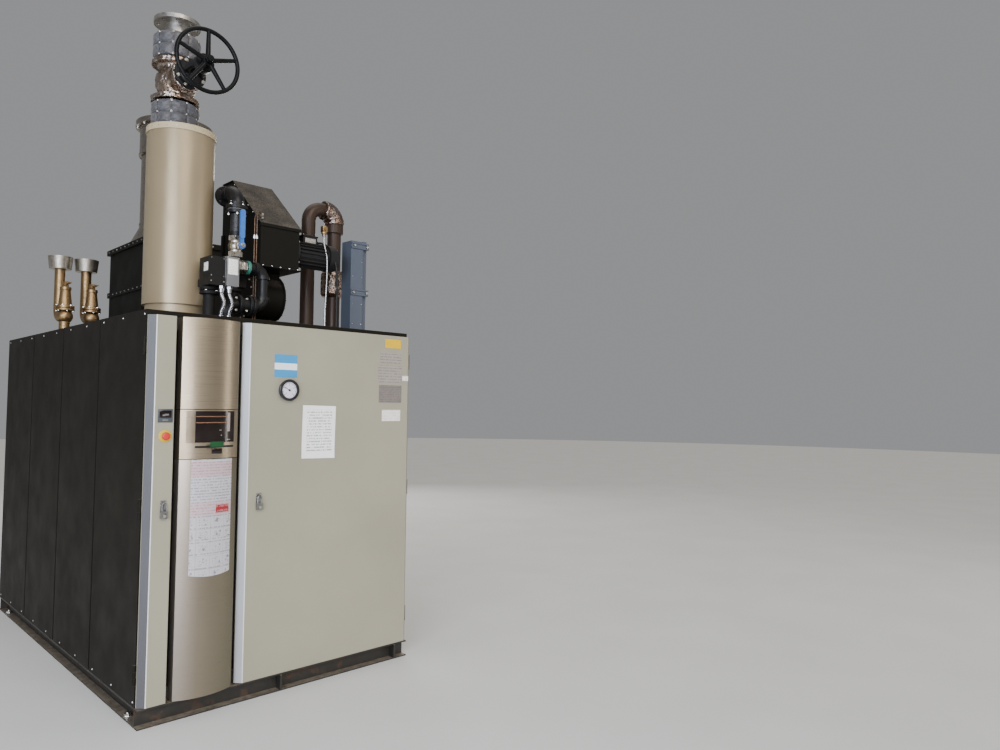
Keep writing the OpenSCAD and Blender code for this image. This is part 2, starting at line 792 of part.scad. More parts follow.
// Rear economiser box with its lid, stiffening angles and access hatch, under the flue stack
module flue_box() {
    wide = 720;
    long = 880;
    lid_t = 40;
    lap = 20;
    angle_w = 40;
    angle_t = 12;
    hatch = [14, 360, 320];
    x = flue_x - wide / 2 + 50;
    y = rear_y - wall_t - lap - long;
    color("dimgray") {
        block([x, y, deck_z], [wide, long, flue_box_h]);
        block([x - lap, y - lap, deck_z + flue_box_h - lid_t], [wide + 2 * lap, long + 2 * lap, lid_t]);
        for (z = [0, flue_box_h / 2]) {
            block([x - angle_t, y - angle_t, deck_z + z], [wide + 2 * angle_t, long + 2 * angle_t, angle_w]);
        }
        block([x - hatch[0], y + 120, deck_z + 34 + angle_w - 20], [hatch[0], hatch[1], hatch[2] - 60]);
        block([x + 160, y - hatch[0], deck_z + flue_box_h / 2 + 60], [hatch[1], hatch[0], hatch[2] - 120]);
    }
}

// Cone, barrel, draw band and drilled collar of the flue
module flue_stack() {
    cone_h = 150;
    wall = 6;
    gap = 4;
    band = 220;
    collar = 52;
    collar_t = 40;
    h = flue_h - flue_box_h;
    color("silver") translate([flue_x, rear_y - wall_t - 460, deck_z + flue_box_h]) difference() {
        rotate_extrude($fn = 96) polygon([[flue_r + 70, 0], [flue_r + 70, 12], [flue_r + gap, cone_h],
            [flue_r + gap, h - collar_t - band], [flue_r + 20, h - collar_t - band], [flue_r + 20, h - collar_t],
            [flue_r + collar, h - collar_t], [flue_r + collar, h], [flue_r - wall, h], [flue_r - wall, 0]]);
        for (i = [0:flue_holes - 1]) {
            rotate([0, 0, (i + 0.5) * 360 / flue_holes]) translate([flue_r + 36, 0, h - collar_t - 10])
                cylinder(r = 7, h = collar_t + 20);
        }
    }
}

// Upright wiring trunk, a narrower one beside it, and the strut channels that hold both
module wiring_trunk() {
    wide = 95;
    deep = 110;
    gap = 7;
    slim = 30;
    strut = 41;
    lid = 3;
    x = right_x - 140;
    y = front_y + 480;
    color("lightslategray") {
        block([x, y, deck_z], [wide, deep, trunk_h]);
        block([x + 6, y - lid, deck_z + 10], [wide - 12, lid, trunk_h - 20]);
        block([x + wide + gap, y + 20, deck_z], [slim, deep - 40, trunk_h + 10]);
        for (z = [0.43, 0.92]) {
            translate([x, y - 8 - lid, deck_z + z * trunk_h]) difference() {
                cube([wide + gap + slim, 8 + lid, strut]);
                translate([-1, -1, 10]) cube([wide + gap + slim + 2, 7, strut - 20]);
            }
            block([x + wide - eps, y, deck_z + z * trunk_h], [gap + slim + eps, 30, strut]);
        }
    }
}

// A wrapped fitting on an upright pipe, with rounded shoulders
module pipe_drum(p, r, h) {
    shoulder = 24;
    translate(p) rotate_extrude() {
        square([r - shoulder, h]);
        translate([0, shoulder]) square([r, h - 2 * shoulder]);
        for (z = [shoulder, h - shoulder]) {
            translate([r - shoulder, z]) circle(r = shoulder);
        }
    }
}

// Lagged feed pipe: up from the roof, over through two bends and down to the boiler
module feed_pipe() {
    r = 46;
    bend = 90;
    apart = 200;
    wrap_r = 78;
    wrap_h = 170;
    foot = 70;
    top = feed_h - bend;
    color("rosybrown") translate([right_x - foot - 2, front_y + 800, deck_z]) {
        rod([0, 0, 0], r, top);
        translate([0, 0, top]) elbow(r + 14, bend, 90);
        disc([0, 0, top - 60], r + 14, 60);
        pipe_drum([0, 0, 0.43 * feed_h - wrap_h / 2], wrap_r, wrap_h);
        disc([0, 0, 0], foot, 18);
        rod([-apart + bend, 0, feed_h], r, apart - 2 * bend, "x");
        translate([-apart, 0, 0]) {
            rod([0, 0, 0], r, top);
            translate([0, 0, top]) elbow(r, bend, -90);
            pipe_drum([0, 0, 0.6 * feed_h - 60], wrap_r - 14, 120);
            disc([0, 0, 0], foot, 18);
        }
    }
}

// One safety valve: inlet flange, body, spring bonnet, cap with its lifting lever, and the outlet's bend and riser
module safety_valve() {
    outlet_r = 34;
    bend = 60;
    body_z = 150;
    run = valve_pitch_back - bend;
    disc([0, 0, 0], 58, 20);
    rod([0, 0, 0], outlet_r, body_z);
    translate([0, 0, body_z]) {
        sphere(r = 52);
        disc([0, 0, 40], 60, 16);
        disc([0, 0, 58], 60, 16);
        rod([0, 0, 40], 40, 34);
        translate([0, 0, 74]) cylinder(r1 = 44, r2 = 32, h = 110);
        disc([0, 0, 184], 36, 22);
        translate([0, 0, 206]) cylinder(r = 20, h = 40, $fn = 6);
        block([-7, -120, 222], [14, 126, 8]);
    }
    rod([0, 0, body_z], outlet_r, run, "y");
    translate([0, valve_pitch_back, body_z + bend]) mirror([0, 0, 1]) elbow(outlet_r, bend, 180);
    rod([0, valve_pitch_back, body_z + bend], outlet_r, pan_z + pan_h / 2 - body_z - bend);
}

module safety_valves() {
    color("darkgoldenrod") for (i = [0, 1]) {
        translate([left_x + 200 + 170 * i, rear_y - 620, deck_z]) safety_valve();
    }
}

// Open cups round the tops of the safety valve outlets
module drip_pans() {
    cup_r = 80;
    skin = 4;
    seat_r = 34.2;
    color("silver") for (i = [0, 1]) {
        translate([left_x + 200 + 170 * i, rear_y - 620 + valve_pitch_back, deck_z + pan_z]) {
            rotate_extrude() polygon([[seat_r, 0], [cup_r - 10, 0], [cup_r, pan_h], [cup_r - skin, pan_h],
                [cup_r - 14, 6], [seat_r, 6]]);
        }
    }
}

base_side_rails();
base_end_rails();
base_cross_members();
left_side_panel();
right_side_panel();
rear_panel();
roof_deck();
front_frame();
boiler_casing();
column_upper();
control_panel();
column_lower();
display_window();
left_door();
left_door_hinges();
left_door_display();
emergency_stop();
left_door_latch();
main_door();
main_door_hinges();
pressure_gauge();
main_door_latch();
separator_jacket();
neck_cover();
steam_valve_body();
steam_valve_yoke();
handwheel();
outlet_cover();
outlet_flange();
gas_inlet_pipe();
gas_ball_valve();
ball_valve_lever();
gas_valve_actuator();
gas_valve_body();
burner_gas_pipe();
valve_conduits();
air_duct();
blower_casing();
blower_motor();
flue_box();
flue_stack();
wiring_trunk();
feed_pipe();
safety_valves();
drip_pans();
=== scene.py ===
"""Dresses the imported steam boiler: a finish for each piece, and the small pieces only the looks need."""

import json
import logging
import math
from dataclasses import dataclass
from enum import Enum
from itertools import product
from typing import Callable, Iterable, Optional, Sequence, Union

import bmesh
import bpy
from mathutils import Matrix, Vector, noise

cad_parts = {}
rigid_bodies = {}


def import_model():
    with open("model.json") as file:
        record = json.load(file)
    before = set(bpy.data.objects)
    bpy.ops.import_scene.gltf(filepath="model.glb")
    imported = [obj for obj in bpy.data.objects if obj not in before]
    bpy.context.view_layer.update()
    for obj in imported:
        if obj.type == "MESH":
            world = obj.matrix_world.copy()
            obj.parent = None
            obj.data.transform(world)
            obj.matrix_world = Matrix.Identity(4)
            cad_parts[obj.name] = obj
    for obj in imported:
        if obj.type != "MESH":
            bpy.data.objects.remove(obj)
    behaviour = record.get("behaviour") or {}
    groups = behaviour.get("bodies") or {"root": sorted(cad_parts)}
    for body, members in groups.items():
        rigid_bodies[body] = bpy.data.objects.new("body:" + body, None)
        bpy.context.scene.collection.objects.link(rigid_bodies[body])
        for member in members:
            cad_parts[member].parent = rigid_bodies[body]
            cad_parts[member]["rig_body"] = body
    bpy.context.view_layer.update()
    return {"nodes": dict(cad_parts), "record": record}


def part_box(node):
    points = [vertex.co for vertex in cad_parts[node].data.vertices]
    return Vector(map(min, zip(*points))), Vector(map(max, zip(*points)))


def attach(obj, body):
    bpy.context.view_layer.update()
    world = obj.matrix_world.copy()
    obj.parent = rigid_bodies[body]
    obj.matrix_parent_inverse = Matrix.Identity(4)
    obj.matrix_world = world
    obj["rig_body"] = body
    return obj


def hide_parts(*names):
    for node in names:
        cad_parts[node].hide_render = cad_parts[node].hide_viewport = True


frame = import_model()
LOG = logging.getLogger("boiler")
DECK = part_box("roof_deck")[1][2]
Colour = tuple[float, float, float]
Point = Sequence[float]
Span = tuple[float, float]
Socket = bpy.types.NodeSocket
Feed = Union[Socket, float, Colour]


class Body(str, Enum):
    """The bodies of the part that pieces ride on."""

    ROOT = "root"
    LEFT_DOOR = "left_door"
    MAIN_DOOR = "main_door"
    WHEEL = "handwheel"
    LEVER = "valve_lever"


class Axis(tuple, Enum):
    """The direction that a round piece points in."""

    X = (1.0, 0.0, 0.0)
    Y = (0.0, 1.0, 0.0)
    Z = (0.0, 0.0, 1.0)
    FRONT = (0.0, -1.0, 0.0)
    LEFT = (-1.0, 0.0, 0.0)
    DOWN = (0.0, 0.0, -1.0)


def shade(colour: Colour, factor: float, lift: float = 0.0) -> Colour:
    """A colour made lighter or darker."""
    return tuple(min(1.0, c * factor + lift) for c in colour)


def spread(low: float, high: float, count: int) -> list[float]:
    """Evenly spaced values, both ends included."""
    return [low + (high - low) * i / (count - 1) for i in range(count)]


def around(count: int, start: float = 0.0) -> list[Vector]:
    """Level directions evenly spaced round a circle, from a start in degrees."""
    angles = [math.radians(start + 360.0 * i / count) for i in range(count)]
    return [Vector((math.cos(a), math.sin(a), 0.0)) for a in angles]


def heart(low: Point, high: Point) -> tuple[float, float]:
    """The middle of a box, seen from above."""
    return (low[0] + high[0]) / 2, (low[1] + high[1]) / 2


def crumple(spot: Vector, coarse: float, fine: float) -> Span:
    """How near a place lies to a large and to a small crease of foil, each from 0 to 1."""
    large, small = noise.voronoi(spot * coarse)[0], noise.voronoi(spot * fine)[0]
    return 1 - min(1.0, (large[1] - large[0]) * 2.2), 1 - min(1.0, (small[1] - small[0]) * 2.0)


class Graph:
    """A material's node tree, with short calls for the nodes that the finishes use."""

    def __init__(self, name: str) -> None:
        """Starts a material with one principled shader.

        Args:
            name: The material's name.
        """
        self.material = bpy.data.materials.new("finish_" + name)
        self.material.use_nodes = True
        self.tree = self.material.node_tree
        self.tree.nodes.clear()
        self.shader = self.node("BsdfPrincipled")
        self.node("OutputMaterial", {0: self.shader.outputs[0]})
        self.place = self.node("TexCoord").outputs["Object"]

    def node(self, kind: str, links: Optional[dict] = None, **settings: object) -> bpy.types.Node:
        """Adds a node.

        Args:
            kind: The node's type name after "ShaderNode".
            links: Input name or index to a socket or a constant.
            settings: Properties to set on the node.

        Returns:
            The new node.
        """
        made = self.tree.nodes.new("ShaderNode" + kind)
        for key, value in settings.items():
            setattr(made, key, value)
        for key, value in (links or {}).items():
            if isinstance(value, Socket):
                self.tree.links.new(value, made.inputs[key])
            else:
                made.inputs[key].default_value = value
        return made

    def axes(self) -> tuple[Socket, Socket, Socket]:
        """The object's own X, Y and Z."""
        return tuple(self.node("SeparateXYZ", {0: self.place}).outputs)

    def stretched(self, scale: Point) -> Socket:
        """The object's own coordinates, scaled along each axis."""
        return self.node("Mapping", {"Vector": self.place, "Scale": scale}).outputs[0]

    def noise(self, scale: float, detail: float, rough: float = 0.5,
              vector: Optional[Socket] = None) -> Socket:
        """Fractal noise from 0 to 1, with its scale in features per metre."""
        links = {"Vector": vector or self.place, "Scale": scale, "Detail": detail, "Roughness": rough}
        return self.node("TexNoise", links).outputs["Fac"]

    def cells(self, scale: float, feature: str = "F1") -> bpy.types.Node:
        """A node of irregular cells, so many per metre."""
        return self.node("TexVoronoi", {"Vector": self.place, "Scale": scale}, feature=feature)

    def ramp(self, value: Socket, low: float, high: float, first: float = 0.0, last: float = 1.0) -> Socket:
        """Maps values from low to high onto those from first to last, clamped."""
        links = {"Value": value, "From Min": low, "From Max": high, "To Min": first, "To Max": last}
        return self.node("MapRange", links).outputs[0]

    def patches(self, scale: float, detail: float, low: float = 0.3, high: float = 0.7, first: float = 0.0,
                last: float = 1.0, rough: float = 0.5) -> Socket:
        """Soft patches: noise whose values from low to high run from first to last."""
        return self.ramp(self.noise(scale, detail, rough), low, high, first, last)

    def mix(self, share: Feed, first: Feed, second: Feed) -> Socket:
        """Mixes two colours or colour sockets by the share of the second."""
        ends = [c if isinstance(c, Socket) else (*c, 1.0) for c in (first, second)]
        return self.node("Mix", {0: share, 6: ends[0], 7: ends[1]}, data_type="RGBA").outputs[2]

    def maths(self, operation: str, first: Feed, second: Feed = 0.0) -> Socket:
        """One arithmetic step, by Blender's name for it."""
        return self.node("Math", {0: first, 1: second}, operation=operation).outputs[0]

    def times(self, first: Feed, second: Feed) -> Socket:
        """The product of two values."""
        return self.maths("MULTIPLY", first, second)

    def most(self, first: Feed, second: Feed) -> Socket:
        """The larger of two values."""
        return self.maths("MAXIMUM", first, second)

    def rows(self, value: Socket, pitch: float) -> Socket:
        """A value's place within rows, so many per metre, from 0 to 1."""
        return self.maths("FRACT", self.times(value, pitch))

    def within(self, value: Socket, low: float, high: float) -> Socket:
        """One where a value lies between two bounds, and zero elsewhere."""
        return self.times(self.maths("GREATER_THAN", value, low), self.maths("LESS_THAN", value, high))

    def ledges(self, low: float, high: float) -> Socket:
        """How far a face looks up, from 0 at the low value to 1 at the high one."""
        normal = self.node("TexCoord").outputs["Normal"]
        return self.ramp(self.node("SeparateXYZ", {0: normal}).outputs["Z"], low, high)

    def bump(self, height: Socket, strength: float, distance: float) -> None:
        """Adds a bump under the shader's normal.

        Args:
            height: The height from 0 to 1.
            strength: The bump's strength.
            distance: The height of 1, in metres.
        """
        links = {"Height": height, "Strength": strength, "Distance": distance}
        normal = self.shader.inputs["Normal"]
        if normal.is_linked:
            links["Normal"] = normal.links[0].from_socket
        self.tree.links.new(self.node("Bump", links).outputs[0], normal)

    def settle(self, colour: Socket, rough: Union[Socket, float], **values: float) -> bpy.types.Material:
        """Links the colour and roughness, sets the constants, and gives the material.

        Args:
            colour: The surface's colour.
            rough: Its roughness.
            values: Constants for the shader's own sockets, spaces written as underscores.

        Returns:
            The material.
        """
        self.tree.links.new(colour, self.shader.inputs["Base Color"])
        if isinstance(rough, Socket):
            self.tree.links.new(rough, self.shader.inputs["Roughness"])
        else:
            values["Roughness"] = rough
        for key, value in values.items():
            self.shader.inputs[key.replace("_", " ")].default_value = value
        return self.material


@dataclass(frozen=True)
class Finish:
    """A surface finish that makes its material once."""

    name: str

    def material(self) -> bpy.types.Material:
        """The finish's material, made on first use."""
        return bpy.data.materials.get("finish_" + self.name) or self.make()

    def make(self) -> bpy.types.Material:
        """Builds the material."""
        raise NotImplementedError


@dataclass(frozen=True)
class SheetPaint(Finish):
    """Satin paint on folded sheet, with faint mottling, scuffs and dust on its ledges."""

    base: Colour = (0.4, 0.4, 0.4)
    rough: float = 0.42
    metal: float = 0.0
    mottle: float = 0.06
    scuffs: float = 0.5
    dust: Colour = (0.34, 0.30, 0.24)
    dust_share: float = 0.45
    shine: float = 0.5
    speckle: float = 0.0

    def make(self) -> bpy.types.Material:
        """Builds the material."""
        g = Graph(self.name)
        tone = g.mix(g.patches(1.7, 4), shade(self.base, 1 - 2 * self.mottle), self.base)
        scuff = g.ramp(g.noise(38, 6, 0.7, g.stretched((1, 1, 0.35))), 0.72, 0.8, 0.0, self.scuffs)
        tone = g.mix(scuff, tone, shade(self.base, 0.55))
        speck = g.ramp(g.cells(26).outputs["Distance"], 0.035, 0.05, self.scuffs * 0.7, 0.0)
        tone = g.mix(speck, tone, shade(self.base, 0.4))
        film = g.times(g.ledges(0.4, 0.9), g.patches(9, 6, 0.1, 0.9, rough=0.65))
        if self.speckle:
            grains = g.patches(170, 3, 0.40, 0.60, 1 - self.speckle, 1.0, 0.7)
            flecks = g.ramp(g.cells(75).outputs["Distance"], 0.12, 0.24)
            film = g.times(film, g.times(grains, flecks))
        rough = g.patches(6, 5, 0.3, 0.7, self.rough - 0.05, self.rough + 0.07)
        g.bump(g.noise(420, 2), 0.05, 0.0006)
        return g.settle(g.mix(g.times(film, self.dust_share), tone, self.dust),
                        g.maths("ADD", rough, g.times(film, 0.3)),
                        Metallic=self.metal, Specular_IOR_Level=self.shine)


@dataclass(frozen=True)
class HairlineSheet(Finish):
    """Metallic sheet with fine level hairlines; over a given span, painted highlight on its left and painted
    shade on its right stand in for the light across its curve.
    """

    base: Colour = (0.6, 0.55, 0.47)
    rough: float = 0.3
    metal: float = 0.75
    # The colour of the painted highlight at the span's left edge; deep is the colour of the painted shade at
    # its right edge.
    painted_highlight: Colour = (0.6, 0.55, 0.47)
    deep: Colour = (0.6, 0.55, 0.47)
    span: Span = (0.0, 0.0)

    def make(self) -> bpy.types.Material:
        """Builds the material."""
        g = Graph(self.name)
        lines = g.noise(1.0, 3, 0.6, g.stretched((3, 3, 1400)))
        tone = g.mix(g.patches(2.2, 3), shade(self.base, 0.94), self.base)
        # Painted highlight at the span's left edge fades out over its first third; painted shade grows from
        # there to its right edge.
        left, right = self.span
        if left < right:
            across, middle = g.axes()[0], (left * 2 + right) / 3
            tone = g.mix(g.ramp(across, left, middle), self.painted_highlight, tone)
            tone = g.mix(g.ramp(across, middle, right), tone, self.deep)
        g.bump(lines, 0.08, 0.0003)
        return g.settle(g.mix(g.ramp(lines, 0.35, 0.65, 0, 0.10), tone, shade(self.base, 0.7)),
                        g.ramp(lines, 0.3, 0.7, self.rough - 0.04, self.rough + 0.06), Metallic=self.metal)


@dataclass(frozen=True)
class WornSteel(Finish):
    """Old primer on rolled steel, with rust where the primer has gone."""

    base: Colour = (0.10, 0.075, 0.055)
    rust: Colour = (0.19, 0.085, 0.035)
    rust_share: float = 0.55

    def make(self) -> bpy.types.Material:
        """Builds the material."""
        g = Graph(self.name)
        bare = self.rust_share * 0.2
        grain = g.noise(130, 5, 0.7)
        gone = g.times(g.patches(11, 8, 0.62 - bare, 0.68 - bare, rough=0.68),
                       g.ramp(grain, 0.3, 0.6, 0.5, 1.0))
        rust = g.mix(g.ramp(grain, 0.35, 0.65), shade(self.rust, 0.5), self.rust)
        tone = g.mix(g.patches(30, 5), shade(self.base, 0.7), self.base)
        film = g.times(g.ledges(0.5, 0.95), g.patches(24, 6, 0.3, 0.7, 0.2, 0.7, 0.65))
        g.bump(g.maths("ADD", g.times(gone, 0.7), g.times(grain, 0.3)), 0.5, 0.0012)
        return g.settle(g.mix(film, g.mix(gone, tone, rust), (0.30, 0.25, 0.19)),
                        g.ramp(gone, 0, 1, 0.5, 0.9))


@dataclass(frozen=True)
class BareMetal(Finish):
    """Turned, plated or tinned metal, slightly tarnished."""

    base: Colour = (0.55, 0.53, 0.48)
    rough: float = 0.32
    tarnish: Colour = (0.22, 0.17, 0.12)
    tarnish_share: float = 0.35
    spangle: float = 0.0

    def make(self) -> bpy.types.Material:
        """Builds the material."""
        g = Graph(self.name)
        stain = g.patches(34, 6, 0.42, 0.68, 0.0, self.tarnish_share, 0.7)
        tone = g.mix(stain, self.base, self.tarnish)
        if self.spangle:
            patch = g.node("SeparateXYZ", {0: g.cells(140).outputs["Color"]}).outputs[0]
            tone = g.mix(g.times(patch, self.spangle), tone, shade(self.base, 0.6))
        g.bump(g.noise(300, 3), 0.07, 0.0006)
        return g.settle(tone, g.patches(60, 4, 0.3, 0.7, self.rough - 0.07, self.rough + 0.14), Metallic=1.0)


@dataclass(frozen=True)
class CastEnamel(Finish):
    """Enamel on a casting, with the casting's grain under it."""

    base: Colour = (0.02, 0.02, 0.022)
    rough: float = 0.38
    grain: float = 0.35
    dust: float = 0.35
    shine: float = 0.4

    def make(self) -> bpy.types.Material:
        """Builds the material."""
        g = Graph(self.name)
        tone = g.mix(g.patches(45, 6, 0.62, 0.74, 0.0, 0.35, 0.7), self.base, shade(self.base, 3, 0.02))
        film = g.times(g.ledges(0.3, 0.95), g.patches(40, 6, 0.3, 0.7, 0.3, 1, 0.6))
        g.bump(g.noise(190, 3, 0.6), self.grain, 0.0008)
        return g.settle(g.mix(g.times(film, self.dust), tone, (0.16, 0.135, 0.11)),
                        g.patches(20, 5, 0.3, 0.7, self.rough - 0.06, self.rough + 0.12),
                        Specular_IOR_Level=self.shine)


@dataclass(frozen=True)
class CoatedCloth(Finish):
    """Coated glass cloth of removable insulation covers, with its weave and creases."""

    base: Colour = (0.20, 0.205, 0.235)

    def make(self) -> bpy.types.Material:
        """Builds the material."""
        g = Graph(self.name)
        crease = g.noise(16, 6, 0.6)
        tone = g.mix(g.ramp(crease, 0.3, 0.7), shade(self.base, 0.72), shade(self.base, 1.15))
        tone = g.mix(g.patches(7, 6, 0.45, 0.75, 0.0, 0.45, 0.65), tone, (0.13, 0.11, 0.09))
        seam = g.node("Attribute", attribute_name="seam").outputs["Fac"]
        weave = [g.node("TexWave", {"Vector": g.place, "Scale": scale}, bands_direction=way).outputs["Fac"]
                 for scale, way in ((190.0, "DIAGONAL"), (260.0, "Z"))]
        g.bump(g.times(*weave), 0.12, 0.0006)
        g.bump(crease, 0.35, 0.006)
        return g.settle(g.mix(g.times(seam, 0.75), tone, (0.02, 0.02, 0.022)),
                        g.ramp(crease, 0.3, 0.7, 0.42, 0.62), Sheen_Weight=0.15, Metallic=0.12)


@dataclass(frozen=True)
class CrumpledFoil(Finish):
    """Crumpled foil wrap, tinted by heat."""

    pale: Colour = (0.62, 0.58, 0.52)
    tint: Colour = (0.50, 0.27, 0.11)

    def make(self) -> bpy.types.Material:
        """Builds the material."""
        g = Graph(self.name)
        tone = g.mix(g.patches(13, 5, 0.38, 0.62, rough=0.6), self.pale, self.tint)
        for scale, strength, depth in ((42, 0.35, 0.008), (115, 0.3, 0.003)):
            g.bump(g.cells(scale, "DISTANCE_TO_EDGE").outputs["Distance"], strength, depth)
        return g.settle(g.mix(g.patches(60, 4, 0.55, 0.75, 0, 0.6), tone, (0.10, 0.07, 0.05)),
                        g.patches(50, 3, 0.3, 0.7, 0.20, 0.42), Metallic=1.0)


@dataclass(frozen=True)
class Gloss(Finish):
    """Moulded plastic or a smoked pane."""

    base: Colour = (0.02, 0.02, 0.025)
    rough: float = 0.12
    wear: float = 0.1

    def make(self) -> bpy.types.Material:
        """Builds the material."""
        g = Graph(self.name)
        smear = g.patches(14, 5, 0.4, 0.7, 0, self.wear, 0.6)
        g.bump(g.noise(260, 2), 0.02, 0.0005)
        return g.settle(g.mix(smear, self.base, shade(self.base, 1.5, 0.02)),
                        g.ramp(smear, 0, max(self.wear, 0.01), self.rough, self.rough + 0.12))


@dataclass(frozen=True)
class PrintedSheet(Finish):
    """Paper or film with ruled rows that stand for print.

    Attributes:
        bands: Lower edge, upper edge and colour of each band of tinted paper.
        inks: The same for each band with an ink of its own.
        rows: How many rows fill a metre.
        span: The print's left and right edges.
        level: Its lower and upper edges.
        sketch: The lower and upper edges of the fields with figures, if any.
    """

    paper: Colour = (0.70, 0.71, 0.72)
    ink: Colour = (0.12, 0.12, 0.13)
    bands: tuple[tuple[float, float, Colour], ...] = ()
    inks: tuple[tuple[float, float, Colour], ...] = ()
    rows: float = 90.0
    span: Span = (-1.0, 1.0)
    level: Span = (-1.0, 5.0)
    sketch: Span = (9.0, 9.0)
    strength: float = 0.7
    rough: float = 0.55

    def make(self) -> bpy.types.Material:
        """Builds the material."""
        g = Graph(self.name)
        x, _, z = g.axes()
        tone, ink = g.mix(g.patches(30, 4), shade(self.paper, 0.95), self.paper), self.ink
        for low, high, colour in self.bands:
            tone = g.mix(g.within(z, low, high), tone, colour)
        for low, high, colour in self.inks:
            ink = g.mix(g.within(z, low, high), ink, colour)
        words = g.ramp(g.noise(1.0, 2, 0.6, g.stretched((150.0, 150.0, self.rows * 0.9))), 0.46, 0.50)
        printed = g.times(g.within(x, *self.span), g.within(z, *self.level))
        mask = g.times(g.times(g.within(g.rows(z, self.rows), 0.3, 0.72), words), printed)
        if self.sketch[0] < self.sketch[1]:
            mask = self.sketched(g, x, z, mask)
        g.bump(g.noise(60, 4), 0.1, 0.001)
        return g.settle(g.mix(g.times(mask, self.strength), tone, ink),
                        g.patches(50, 3, 0.3, 0.7, self.rough - 0.05, self.rough + 0.08),
                        Specular_IOR_Level=0.3)

    def sketched(self, g: Graph, x: Socket, z: Socket, mask: Socket) -> Socket:
        """Puts ruled fields with small scribbled figures in place of the rows over part of the height.

        Args:
            g: The graph.
            x: The place across.
            z: The height.
            mask: The rows' mask.

        Returns:
            The new mask.
        """
        across, up = g.rows(x, 14.6), g.rows(z, 15.5)
        inside = g.times(g.within(across, 0.18, 0.82), g.within(up, 0.30, 0.85))
        scribble = g.most(g.within(g.noise(80, 1), 0.485, 0.52),
                          g.maths("GREATER_THAN", g.noise(46, 1), 0.64))
        rule = g.most(g.within(across, 0.0, 0.03), g.within(up, 0.0, 0.035))
        caption = g.times(g.times(mask, g.within(up, 0.0, 0.28)), 0.8)
        marks = g.most(g.most(g.times(scribble, inside), caption), g.times(rule, 0.45))
        inner = g.within(z, *self.sketch)
        return g.maths("ADD", g.times(marks, inner), g.times(mask, g.maths("SUBTRACT", 1.0, inner)))


@dataclass(frozen=True)
class TapeWrap(Finish):
    """Wide black tape wound round a pipe, with its laps as fine slanted steps."""

    base: Colour = (0.018, 0.018, 0.020)
    laps: float = 34.0

    def make(self) -> bpy.types.Material:
        """Builds the material."""
        g = Graph(self.name)
        x, _, z = g.axes()
        slant = g.maths("ADD", g.times(z, self.laps), g.times(x, self.laps * 0.3))
        worn = g.patches(40, 6, 0.5, 0.75, 0.0, 0.5, 0.7)
        g.bump(g.maths("FRACT", slant), 0.6, 0.0012)
        return g.settle(g.mix(worn, self.base, shade(self.base, 3)), g.patches(24, 4, 0.3, 0.7, 0.30, 0.5))


